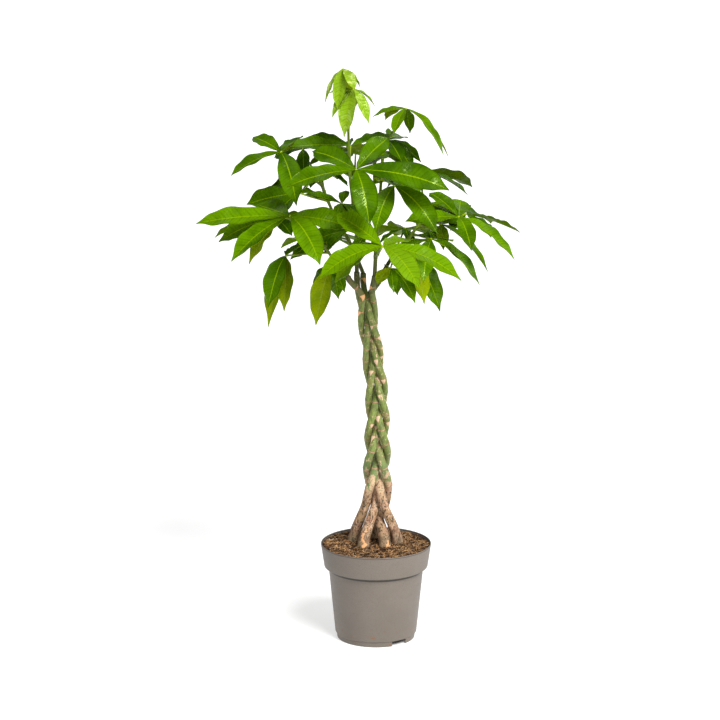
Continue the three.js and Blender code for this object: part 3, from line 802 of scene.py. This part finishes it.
def make_pot():
    points, faces = turned(rounded(pot_profile(), POT_ROUNDING), POT_SIDES)
    builder = Builder()
    builder.add(points, faces)
    pot = builder.make("pot_body", pot_material())
    cutters = drain_cutters()
    cut = pot.modifiers.new("drains", "BOOLEAN")
    cut.operation = "DIFFERENCE"
    cut.solver = "EXACT"
    cut.object = cutters
    bpy.context.view_layer.update()
    seen = pot.evaluated_get(bpy.context.evaluated_depsgraph_get())
    mesh = bpy.data.meshes.new_from_object(seen)
    pot.modifiers.clear()
    pot.data = mesh
    bpy.data.objects.remove(cutters)
    mesh.set_sharp_from_angle(angle=math.radians(POT_SHARP_DEGREES))
    settle(pot, "pot_plastic", "pot")


# ---------------- stems

SCAR_START = (95, 109)  # where a stem's lowest scar lies above the soil
SCAR_SPACING = 27
SCAR_GAPS = (0.55, 1.3)
SCAR_SIZES = (0.7, 1.25)
SCAR_HALF_WIDTH = 3.6
SCAR_POINT = 6.5  # how far a scar's triangle points down
SCAR_BROW = 1.2  # how far its flat edge lies above its middle
SCAR_EDGE_OUT = 0.9  # a scar's edge fades from this far outside it to this far inside
SCAR_EDGE_IN = 0.5
SCAR_REACH = 9  # no scar marks the bark further up or down than this
SCAR_TOP_GAP = 6
RING_SHARE = 0.55  # how many scars have a thin ring round the stem
RING_EDGE = (1.3, 0.5)  # half the ring's width, where it starts and where it is full
KNOT_SWELL = 0.07
KNOT_REACH = 3.2
STEM_SIDES = 26
STEM_RING_STEP = 1.6
STEM_SHARP_DEGREES = 50
STEM_SINK = 12  # how far a stem's skin goes down into the soil


def stem_radius(height):
    fall = max(0, TAPER_TOP - height) / TAPER_SPAN
    flare = FLARE * math.exp(-max(0, height - SOIL_LEVEL) / FLARE_FADE)
    return TOP_RADIUS + SOIL_RADIUS_GAIN * fall ** TAPER_POWER + flare


def braid_turns(height):
    """How many times a stem has been round the braid at a height, as the pitch grows."""
    climb = height - BRAID_PHASE_HEIGHT
    slowing = (1 / BRAID_LOW_PITCH - 1 / BRAID_HIGH_PITCH) / (BRAID_END - BRAID_PHASE_HEIGHT)
    return climb / BRAID_LOW_PITCH - slowing * climb * climb / 2


def braid_point(stem, height):
    """Where a stem's axis is at a height: five strands cross in a flat figure of eight."""
    turn = 2 * math.pi * (braid_turns(height) + stem / STEM_COUNT)
    radius = stem_radius(height)
    middle = mix(TRUNK_FOOT_X, TRUNK_TOP_X, smoothstep(LEAN_START, LEAN_END, height))
    across = math.sin(turn) - BRAID_EDGE_SWELL * math.sin(3 * turn)
    x = middle + BRAID_WIDTH_PER_RADIUS * radius * across
    y = BRAID_DEPTH_PER_RADIUS * radius * math.sin(2 * turn)
    return x, y


def stem_point(stem, height):
    """A stem's leg leads from its base to the braid, which leads on to the stem's top."""
    above = height - BRAID_START
    x, y = braid_point(stem, BRAID_START + (above + math.hypot(above, LEG_EASE)) / 2)
    base_x, base_y = STEM_BASES[stem]
    top_x, top_y, top_z = STEM_TOPS[stem]
    rise = smoothstep(SOIL_LEVEL, BRAID_START, height)
    part = smoothstep(BRAID_END, top_z, height)
    x = mix(mix(base_x, x, rise), top_x, part)
    y = mix(mix(base_y, y, rise), top_y, part)
    return np.array([x, y, height])


def stem_scars(stem, draw):
    """The heights, directions and sizes of a stem's leaf scars, and a draw for their rings."""
    scars = []
    height = SOIL_LEVEL + mix(*SCAR_START, draw())
    while height < STEM_TOPS[stem][2] - SCAR_TOP_GAP:
        scars.append((height, 2 * math.pi * draw(), mix(*SCAR_SIZES, draw()), draw()))
        height += SCAR_SPACING * mix(*SCAR_GAPS, draw())
    return scars


def scar_strength(scars, height, angle, radius):
    """How deep a point lies in a scar: a small triangle that points down, on a thin ring."""
    most = 0.0
    for level, facing, size, ringed in scars:
        up = height - level
        if abs(up) > SCAR_REACH:
            continue
        point = -SCAR_POINT * size
        brow = SCAR_BROW * size
        width = SCAR_HALF_WIDTH * size * smoothstep(point, brow, up)
        side = abs(angle_between(angle, facing)) * radius
        if up > point:
            inside = smoothstep(width + SCAR_EDGE_OUT, width - SCAR_EDGE_IN, side)
            most = max(most, inside * smoothstep(2 * brow, brow, up))
        if ringed > 1 - RING_SHARE:
            wavy = up - math.sin(2 * angle + facing)
            most = max(most, 0.5 * smoothstep(*RING_EDGE, abs(wavy)))
    return most


# Stems with a torn patch at the soil: its direction, and how high it climbs.
TORN_PATCHES = {0: (-1.75, 36), 3: (-1.3, 13)}


def torn_strength(stem, height, angle):
    """An orange patch of torn bark that climbs a little way from the soil."""
    if stem not in TORN_PATCHES:
        return 0.0
    facing, reach = TORN_PATCHES[stem]
    up = height - SOIL_LEVEL
    if up > reach:
        return 0.0
    turn = angle_between(angle, facing)
    wander = 0.35 * math.sin(up * 0.22) + 0.12 * math.sin(up * 0.9)
    ragged = noise.noise(Vector((turn * 4, up * 0.4, stem))) * 0.5
    width = mix(0.36, 0.12, min(1.0, up / reach)) + ragged
    climb = smoothstep(reach, 0.75 * reach, up)
    return smoothstep(width + 0.08, width - 0.06, abs(turn - wander)) * climb


def make_stem(stem, material, draw):
    top = STEM_TOPS[stem][2]
    foot = SOIL_LEVEL - STEM_SINK
    steps = round((top - foot) / STEM_RING_STEP)
    heights = [mix(foot, top, step / steps) for step in range(steps + 1)]
    scars = stem_scars(stem, draw)
    masks = []
    torn = []

    def relief(index, angle):
        """Lumps, ridges and knots of the bark, round a mean just inside the plain stem."""
        height = heights[index]
        strength = scar_strength(scars, height, angle, stem_radius(height))
        masks.append(strength)
        torn.append(torn_strength(stem, height, angle))
        low = smoothstep(300, 170, height)
        spot = Vector((math.cos(angle) * 1.6, math.sin(angle) * 1.6, height * 0.045 + stem * 9))
        lumps = noise.noise(spot) * mix(0.035, 0.085, low)
        ridge = noise.noise(spot * 3.1) * 0.03 * low
        knot = sum(KNOT_SWELL * math.exp(-((height - scar[0] - 1) / KNOT_REACH) ** 2)
                   for scar in scars)
        return 0.955 + lumps + ridge + 0.035 * strength + knot

    centres = [stem_point(stem, height) for height in heights]
    radii = [stem_radius(height) for height in heights]
    builder = Builder()
    builder.add_tube(centres, radii, STEM_SIDES, True, relief, scar=masks, torn=torn)
    piece = builder.make(f"stem_bark_{stem + 1}", material)
    piece.data.set_sharp_from_angle(angle=math.radians(STEM_SHARP_DEGREES))
    settle(piece, "bark", f"stem_{stem + 1}")


# ---------------- soil

SOIL_SIDES = 260
SOIL_RADII = 78
SOIL_DEPTH = 30
SOIL_DRAFT = 0.9  # how much narrower the mix is at the bottom
SOIL_WALL_GAP = 0.4
HEAP_HEIGHT = 3.4
HEAP_START = 10  # the heaps fall off from this far from each stem's middle
HEAP_FADE = 12
SOIL_SINK = 0.8  # how far the mix lies under its level, apart from swells and heaps
STEM_CLEARANCE = 12
CRUMB_COUNT = 3000
CRUMB_SIZES = (0.5, 2.6)
CRUMB_SPREADS = [(0.5, 1.3), (0.35, 0.8), (0.25, 0.6)]  # of its length, width and height
CRUMB_CORNERS = (0.55, 1.1)  # how far out its corners lie
CRUMB_TIP = 0.5  # how far it may be tipped, either way
SPECK_COUNT = 110
SPECK_SIZES = (0.5, 1.1)
FIBRE_COUNT = 1700
FIBRE_STEPS = 5
FIBRE_LENGTHS = (3, 15)
FIBRE_RADII = (0.16, 0.6)
FIBRE_LIFTS = (0.2, 1.5)
FIBRE_CURL = 0.35  # how far it may turn at each step, either way


def soil_edge_radius():
    band_foot = POT_HEIGHT - BAND_HEIGHT
    share = (SOIL_LEVEL - band_foot) / BAND_HEIGHT
    return mix(BAND_FOOT_RADIUS, RIM_RADIUS, share) - WALL - SOIL_WALL_GAP


def stem_distance(x, y):
    """How far a place on the soil is from the middle of the nearest stem."""
    return min(math.hypot(x - base[0], y - base[1]) for base in STEM_BASES)


def soil_height(x, y):
    """The mix's level: low swells and crumbs, heaped a little at the stems."""
    spot = Vector((x, y, 4.2))
    swell = noise.noise(spot * 0.045) * 1.6
    crumbs = noise.noise(spot * 0.3) * 1.2 + noise.noise(spot * 0.75) * 0.8
    away = max(0, stem_distance(x, y) - HEAP_START)
    heap = HEAP_HEIGHT * math.exp(-(away / HEAP_FADE) ** 2)
    return SOIL_LEVEL + swell + crumbs + heap - SOIL_SINK


def make_soil(material):
    edge = soil_edge_radius()
    points = [(0, 0, soil_height(0, 0))]
    for ring in range(1, SOIL_RADII + 1):
        for x, y in circle(edge * ring / SOIL_RADII, SOIL_SIDES):
            points.append((x, y, soil_height(x, y)))
    for x, y, _ in points[-SOIL_SIDES:]:
        points.append((x * SOIL_DRAFT, y * SOIL_DRAFT, SOIL_LEVEL - SOIL_DEPTH))
    faces = [(0, 1 + side, 1 + (side + 1) % SOIL_SIDES) for side in range(SOIL_SIDES)]
    for a, b, below_b, below_a in ring_quads(1, SOIL_RADII + 1, SOIL_SIDES):
        faces.append((a, below_a, below_b, b))
    faces.append(tuple(reversed(range(len(points) - SOIL_SIDES, len(points)))))
    builder = Builder()
    builder.add(points, faces)
    settle(builder.make("soil_mix", material), "soil", "soil")


def soil_spot(draw):
    """A place on the soil that is clear of the stems and of the pot's wall."""
    edge = soil_edge_radius() - 3
    while True:
        radius = edge * math.sqrt(draw())
        angle = 2 * math.pi * draw()
        x = radius * math.cos(angle)
        y = radius * math.sin(angle)
        if stem_distance(x, y) > STEM_CLEARANCE:
            return x, y


BOX_CORNERS = [(x, y, z) for z in (-1, 1) for x, y in SQUARE]
BOX_FACES = [(0, 3, 2, 1), (4, 5, 6, 7), *ring_quads(0, 2, 4)]


def add_crumb(builder, draw, size, shade):
    """One rough bit of bark or peat, half sunk in the mix."""
    x, y = soil_spot(draw)
    turn = math.pi * draw()
    tip = mix(-CRUMB_TIP, CRUMB_TIP, draw())
    half = [size * mix(*spread, draw()) for spread in CRUMB_SPREADS]
    points = []
    for corner in BOX_CORNERS:
        rough = [mix(*CRUMB_CORNERS, draw()) for _ in corner]
        local = np.array([c * h * r for c, h, r in zip(corner, half, rough)])
        local = turned_about(local, RIGHT, tip)
        local = turned_about(local, UP, turn)
        points.append(local + (x, y, soil_height(x, y) + half[2] * 0.35))
    builder.add(points, BOX_FACES, shade=shade)


def make_crumbs(material, speck_material):
    draw = seeded_draw(FINE_SEED + 1)
    crumbs = Builder()
    for _ in range(CRUMB_COUNT):
        add_crumb(crumbs, draw, mix(*CRUMB_SIZES, draw() ** 3), draw())
    settle(crumbs.make("soil_crumbs", material, smooth=False), "soil")
    specks = Builder()
    for _ in range(SPECK_COUNT):
        add_crumb(specks, draw, mix(*SPECK_SIZES, draw()), draw())
    settle(specks.make("soil_specks", speck_material, smooth=False), "soil")


def make_fibres(material):
    """Short bent coir fibres, lying on the mix."""
    draw = seeded_draw(FINE_SEED + 2)
    builder = Builder()
    limit = soil_edge_radius() - 1.5
    for _ in range(FIBRE_COUNT):
        x, y = soil_spot(draw)
        heading = 2 * math.pi * draw()
        curl = mix(-FIBRE_CURL, FIBRE_CURL, draw())
        length = mix(*FIBRE_LENGTHS, draw() ** 1.7)
        lift = mix(*FIBRE_LIFTS, draw() ** 2)
        centres = []
        for step in range(FIBRE_STEPS + 1):
            flat = math.hypot(x, y)
            if flat > limit:
                x *= limit / flat
                y *= limit / flat
            rise = lift * math.sin(math.pi * step / FIBRE_STEPS)
            centres.append((x, y, soil_height(x, y) + 0.25 + rise))
            x += length / FIBRE_STEPS * math.cos(heading)
            y += length / FIBRE_STEPS * math.sin(heading)
            heading += curl
        radius = mix(*FIBRE_RADII, draw() ** 2)
        radii = [radius * 0.6, *[radius] * (FIBRE_STEPS - 1), radius * 0.5]
        builder.add_tube(centres, radii, 4, shade=draw())
    settle(builder.make("soil_fibres", material), "soil")


# ---------------- leaves


def blade_shape(t):
    peak = BLADE_RISE / (BLADE_RISE + BLADE_FALL)
    most = peak ** BLADE_RISE * (1 - peak) ** BLADE_FALL
    return t ** BLADE_RISE * (1 - t) ** BLADE_FALL / most


def blade_bend(hub, reach, arch):
    lift = BEND_DROP if reach[2] < 0 else BEND_CLIMB
    rise = lift * reach[2] + arch * np.linalg.norm(reach)
    return hub + np.array([BEND_OUT * reach[0], BEND_OUT * reach[1], rise])


def fanned_tips(leaf):
    """The tips of a leaf at the back, in an even fan that droops."""
    tips = []
    for index in range(FAN_LEAFLETS):
        share = index / (FAN_LEAFLETS - 1) * 2 - 1
        heading = math.radians(leaf["facing"] + share * FAN_DEGREES / 2)
        length = leaf["length"] * (1 - FAN_SHORTENING * share * share)
        tips.append([length * math.cos(heading), length * math.sin(heading), -FAN_DROOP * length])
    return tips


def leaflet_form(draw, slim):
    arch = mix(*ARCH, draw())
    width = slim * mix(*WIDTH_SPREAD, draw())
    roll = math.radians(mix(*ROLL_DEGREES, draw()))
    return arch, width, roll


def all_leaves():
    draw = seeded_draw(SEED)
    leaves = [dict(leaf, in_front=True) for leaf in LEAVES]
    leaves += [dict(leaf, in_front=False, tips=fanned_tips(leaf)) for leaf in BACK_LEAVES]
    for number, leaf in enumerate(leaves):
        leaf["number"] = number
        leaf["forms"] = [leaflet_form(draw, leaf.get("slim", 1)) for _ in leaf["tips"]]
    return leaves


def leaf_facing(leaf):
    """The way a leaf's face looks: up, and tilted outwards and towards the light in front."""
    x, y, _ = leaf["hub"]
    tilt = math.radians(leaf.get("tilt", FRONT_TILT if leaf["in_front"] else BACK_TILT))
    pull = LIGHT_PULL if leaf["in_front"] else 0
    outward = unit(np.array([OUTWARD_SHARE * x, OUTWARD_SHARE * y - pull, 0]))
    return UP * math.cos(tilt) + outward * math.sin(tilt)


FOLD = 0.26  # how far the blade's edges lift above its midrib, as a share of its half width
RIPPLE = 0.085
RIPPLES = (2.2, 3.6)  # how many waves run along a blade's edge
TIP_TAPER = 0.5  # how much the last stretch draws in towards the tip
TIP_STRETCH = (0.8, 0.97)
VEIN_RELIEF = 0.22
MIDRIB_RELIEF = 0.55
STALK_BEND = (0.6, 0.6, 0.5)  # where a stalk's bend lies between its foot and the hub, x, y, z
STALK_FOOT_SWELL = 0.9
CUSHION_SWELL = 0.8
CUSHION_RISE = 1.4
CUSHION_TOP_RADIUS = 0.8


def blade_frame(curve, t, facing, roll):
    """A blade's midrib at t: its place, and the directions across it and out of its face."""
    ahead = curve_point(*curve, min(1, t + 0.02))
    behind = curve_point(*curve, max(0, t - 0.02))
    along = unit(ahead - behind)
    side = turned_about(unit(np.cross(facing, along)), along, roll)
    return curve_point(*curve, t), side, unit(np.cross(along, side))


def blade_half_width(t, widest):
    taper = 1 - TIP_TAPER * smoothstep(*TIP_STRETCH, t)
    least = ROOT_HALF_WIDTH if t < ROOT_SHARE else TIP_HALF_WIDTH
    return max(least, widest * blade_shape(t) * taper)


def blade_lift(t, out, half_width, wave):
    """How far a blade's skin lies off its plain middle: folded, rippled and veined."""
    lift = half_width * (FOLD * (out ** 1.2 - 0.5) + RIPPLE * wave * out ** 2)
    vein = math.cos(2 * math.pi * (VEIN_PAIRS * t - VEIN_LEAN * out))
    return lift - VEIN_RELIEF * vein * (1 - out * out) * min(1, half_width / 8) * min(1, out * 6)


def leaflet_skin(hub, reach, facing, form, draw):
    """Points, faces and values of one fine leaflet, on the same curve as the plain blade."""
    arch, width, roll = form
    length = float(np.linalg.norm(reach))
    widest = min(MOST_HALF_WIDTH, WIDTH_PER_LENGTH * length) * width
    curve = (hub, blade_bend(hub, reach, arch), hub + reach)
    ripples = mix(*RIPPLES, draw())
    phases = [2 * math.pi * draw(), 2 * math.pi * draw()]
    columns = np.linspace(-1, 1, BLADE_WIDTH_STEPS + 1)
    shares = [step / BLADE_LENGTH_STEPS for step in range(BLADE_LENGTH_STEPS + 1)]
    top = []
    bottom = []
    thick = BLADE_THICKNESS / 2
    for t in shares:
        centre, side, face = blade_frame(curve, t, facing, roll)
        half_width = blade_half_width(t, widest)
        for column in columns:
            out = abs(column)
            wave = math.sin(2 * math.pi * ripples * t + phases[0 if column > 0 else 1])
            lift = blade_lift(t, out, half_width, wave)
            middle = centre + side * column * half_width + face * lift
            rib = MIDRIB_RELIEF * math.exp(-(out / 0.1) ** 2) * (1 - 0.7 * t)
            top.append(middle + face * thick)
            bottom.append(middle - face * (thick + rib))
    across = np.tile(columns, 2 * len(shares))
    along = np.tile(np.repeat(shares, len(columns)), 2)
    return top + bottom, blade_faces(len(top)), across, along


def blade_faces(offset):
    """Quads of a blade's upper and lower face and the narrow rim that joins them."""
    columns = BLADE_WIDTH_STEPS + 1
    rows = BLADE_LENGTH_STEPS + 1
    grid = np.arange(rows * columns).reshape(rows, columns)
    faces = []
    for a in grid[:-1, :-1].flat:
        b = a + columns
        faces.append((a + 1, b + 1, b, a))
        faces.append((b + offset, b + 1 + offset, a + 1 + offset, a + offset))
    rim = [*grid[:, 0], *grid[-1, 1:], *grid[-2::-1, -1], *grid[0, -2:0:-1]]
    for here, there in zip(rim, rim[1:] + rim[:1]):
        faces.append((here + offset, there + offset, there, here))
    return faces


def shoot_curve(shoot):
    """Points along a green shoot: a smooth curve through its stem's top and its own points."""
    top = STEM_TOPS[shoot]
    knots = [np.array(point, float) for point in [top, *SHOOTS[shoot]["points"]]]
    knots = [2 * knots[0] - knots[1], *knots, 2 * knots[-1] - knots[-2]]

    def at(share):
        spans = len(knots) - 3
        place = min(spans - 1e-9, max(0, share * spans))
        span = int(place)
        return centripetal(knots[span:span + 4], place - span)

    return at


def centripetal(knots, share):
    """A centripetal Catmull-Rom curve's point between the two middle knots of four."""
    times = [0.0]
    for before, after in zip(knots, knots[1:]):
        times.append(times[-1] + math.sqrt(float(np.linalg.norm(after - before))))
    t = mix(times[1], times[2], share)

    def between(a, b, low, high):
        return a * ((high - t) / (high - low)) + b * ((t - low) / (high - low))

    near = [between(knots[i], knots[i + 1], times[i], times[i + 1]) for i in range(3)]
    first = between(near[0], near[1], times[0], times[2])
    second = between(near[1], near[2], times[1], times[3])
    return between(first, second, times[1], times[2])


def add_stalk(builder, start, hub):
    """A leaf stalk, thicker at its foot and in a small cushion under the leaflets."""
    bend = np.array([mix(a, b, share) for a, b, share in zip(start, hub, STALK_BEND)])
    shares = np.linspace(0, 1, STALK_STEPS + 1)
    centres = [curve_point(start, bend, hub, share) for share in shares]
    radii = []
    for share in shares:
        foot = STALK_FOOT_SWELL * math.exp(-share * 14)
        cushion = CUSHION_SWELL * math.exp(-(1 - share) * 26)
        radii.append(STALK_RADIUS * mix(STALK_FOOT_GAIN, 1, share) + foot + cushion)
    centres.append(hub + unit(hub - centres[-2]) * CUSHION_RISE)
    radii.append(CUSHION_TOP_RADIUS)
    near_hub = [smoothstep(0.55, 1.0, share) for share in shares] + [1.0]
    builder.add_tube(centres, radii, STALK_SIDES, near_hub=np.repeat(near_hub, STALK_SIDES))


def add_shoot_stem(builder, shoot, leaves):
    """A shoot's own green stem, a little swollen where each leaf stalk leaves it."""
    curve = shoot_curve(shoot)
    foot, top = SHOOTS[shoot]["radii"]
    centres = []
    radii = []
    for step in range(SHOOT_STEPS + 1):
        share = step / SHOOT_STEPS
        centres.append(curve(share))
        swell = sum(0.8 * math.exp(-((share - leaf["start"]) / 0.02) ** 2) for leaf in leaves)
        radii.append(mix(foot, top, share) + min(0.9, swell))
    builder.add_tube(centres, radii, SHOOT_SIDES, True, near_hub=0.0)


# Leaflets (leaf, leaflet) that have turned over, so that their undersides face the front.
TURNED_OVER = {(2, 5), (13, 3), (14, 1), (14, 2), (15, 0), (19, 0), (20, 0), (21, 1)}
# Painted shade: the leaflets listed here are coloured darker.
SHADED = {(14, 0)}  # leaflets that hang in the shade of the leaf above them
# Places of the hub, front to back or up, over which a leaf looks fresher or darker, by its age and
# by painted light and shade.
FRONT_PLACES = (-20, -140)
BACK_SHADE_PLACES = (-10, 90)
LOW_HEIGHTS = (800, 740)
YOUNG_HEIGHTS = (880, 985)
GROWN_ABOVE = (765, 835)
GROWN_BELOW = (930, 880)


def leaf_freshness_and_light(leaf):
    """How fresh a leaf looks: the highest are the youngest, and the low ones in front, where light
    falls, are made fresher as painted light.
    """
    _, y, z = leaf["hub"]
    # painted light: a brighter, fresher green on the low leaves in front
    low_front = 0.6 * smoothstep(*FRONT_PLACES, y) * smoothstep(*LOW_HEIGHTS, z)
    return low_front + smoothstep(*YOUNG_HEIGHTS, z)


def leaf_age_and_shade(leaf):
    """How dark a leaf is: the full-grown upper leaves are darker with age, and those at the back
    are darker by painted shade.
    """
    _, y, z = leaf["hub"]
    full_grown = 0.42 * smoothstep(*GROWN_ABOVE, z) * smoothstep(*GROWN_BELOW, z)
    return max(full_grown, 0.75 * smoothstep(*BACK_SHADE_PLACES, y))


def add_leaf(builder, leaf, hub, draw):
    """A leaf's blades, with their values for its material."""
    facing = leaf_facing(leaf)
    for index, (tip, form) in enumerate(zip(leaf["tips"], leaf["forms"])):
        reach = np.array(tip, float)
        points, faces, across, along = leaflet_skin(hub, reach, facing, form, draw)
        sides = [1.0, 0.0] if (leaf["number"], index) in TURNED_OVER else [0.0, 1.0]
        under = np.repeat(sides, len(points) // 2)
        youth = min(1.0, max(0.0, leaf_freshness_and_light(leaf) + mix(-0.15, 0.2, draw())))
        # painted shade on the SHADED leaflets; elsewhere darker with age, and painted shade at the
        # back
        depth = 0.6 if (leaf["number"], index) in SHADED else leaf_age_and_shade(leaf)
        builder.add(points, faces, across=across, along=along, under=under, youth=youth,
                    depth=depth)


def make_shoot(shoot, leaves, leaf_green, stalk_green, draw):
    own = [leaf for leaf in leaves if leaf["shoot"] == shoot + 1]
    stalks = Builder()
    blades = Builder()
    add_shoot_stem(stalks, shoot, own)
    curve = shoot_curve(shoot)
    for leaf in own:
        hub = np.array(leaf["hub"], float)
        add_stalk(stalks, curve(leaf["start"]), hub)
        add_leaf(blades, leaf, hub, draw)
    node = f"leafy_shoot_{shoot + 1}"
    settle(stalks.make(f"shoot_stalks_{shoot + 1}", stalk_green), "leaf", node)
    settle(blades.make(f"shoot_leaves_{shoot + 1}", leaf_green), "leaf", node)


# ---------------- camera, light and floor

CAMERA_PLACE = (-27.6, -5000, 1687)
CAMERA_DROP = 13.45  # degrees below level
CAMERA_LENS = 151.3
LIGHT_TARGET = (0, 0, 0.6)
SURROUND_LIGHT = 0.33
POT_SHADOW = (0.052, 0.07)  # distances in metres over which the floor's glow sets in


def make_camera():
    data = bpy.data.cameras.new("camera")
    data.lens = CAMERA_LENS
    data.sensor_width = 36
    data.clip_end = 200
    camera = linked("camera", data)
    camera.location = [value * MM for value in CAMERA_PLACE]
    camera.rotation_euler = (math.radians(90 - CAMERA_DROP), 0, 0)
    bpy.context.scene.camera = camera


def make_sun(name, place, softness, power):
    """A soft distant light that shines from a place towards the plant's crown."""
    data = bpy.data.lights.new(name, "SUN")
    data.angle = math.radians(softness)
    data.energy = power
    light = linked(name, data)
    light.location = place
    aim = Vector(LIGHT_TARGET) - Vector(place)
    light.rotation_euler = aim.to_track_quat("-Z", "Y").to_euler()


def make_studio():
    world = bpy.data.worlds.new("studio")
    world.use_nodes = True
    background = world.node_tree.nodes["Background"]
    background.inputs["Color"].default_value = (1, 1, 1, 1)
    background.inputs["Strength"].default_value = SURROUND_LIGHT
    bpy.context.scene.world = world
    make_sun("key_light", place=(1.2, -2.1, 3.0), softness=24, power=3.75)
    make_sun("fill_light", place=(2.6, -1.6, 1.7), softness=60, power=0.9)
    bpy.context.scene.view_settings.view_transform = "Standard"


PAPER_GREYS = [(0.6, 0.6, 0.6), (0.62, 0.62, 0.62)]
FLOOR_GLOW = 0.6  # keeps the shadow on the paper floor faint, except right under the pot


def make_floor():
    bpy.ops.mesh.primitive_plane_add(size=80, location=(0, 0, 0))
    floor = bpy.context.object
    floor.name = "studio_floor"
    look = Look("studio_floor")
    colour = look.blend(look.noise(0.6, 1), *PAPER_GREYS)
    distance = look.node("VectorMath", {0: look.place}, operation="LENGTH").outputs["Value"]
    glow = look.times(look.between(distance, *POT_SHADOW), FLOOR_GLOW)
    floor.data.materials.append(look.finish(
        colour, 0.85, 0.1, Emission_Color=(1, 1, 1, 1), Emission_Strength=glow))


# ---------------- the whole plant


def make_plant():
    make_pot()
    make_soil(soil_material())
    make_crumbs(crumb_material("soil_bits", SOIL_DARK, CRUMB_TAN),
                crumb_material("soil_white_bits", BARK_PALE, SPECK_WHITE))
    make_fibres(crumb_material("coir", FIBRE_DARK, FIBRE_TAN))
    bark = bark_material()
    scar_draw = seeded_draw(FINE_SEED + 3)
    for stem in range(STEM_COUNT):
        make_stem(stem, bark, scar_draw)
    leaves = all_leaves()
    leaf_green = leaf_material()
    stalk_green = stalk_material()
    blade_draw = seeded_draw(FINE_SEED)
    for shoot in range(STEM_COUNT):
        make_shoot(shoot, leaves, leaf_green, stalk_green, blade_draw)


make_camera()
make_studio()
make_floor()
make_plant()

bpy.context.view_layer.update()
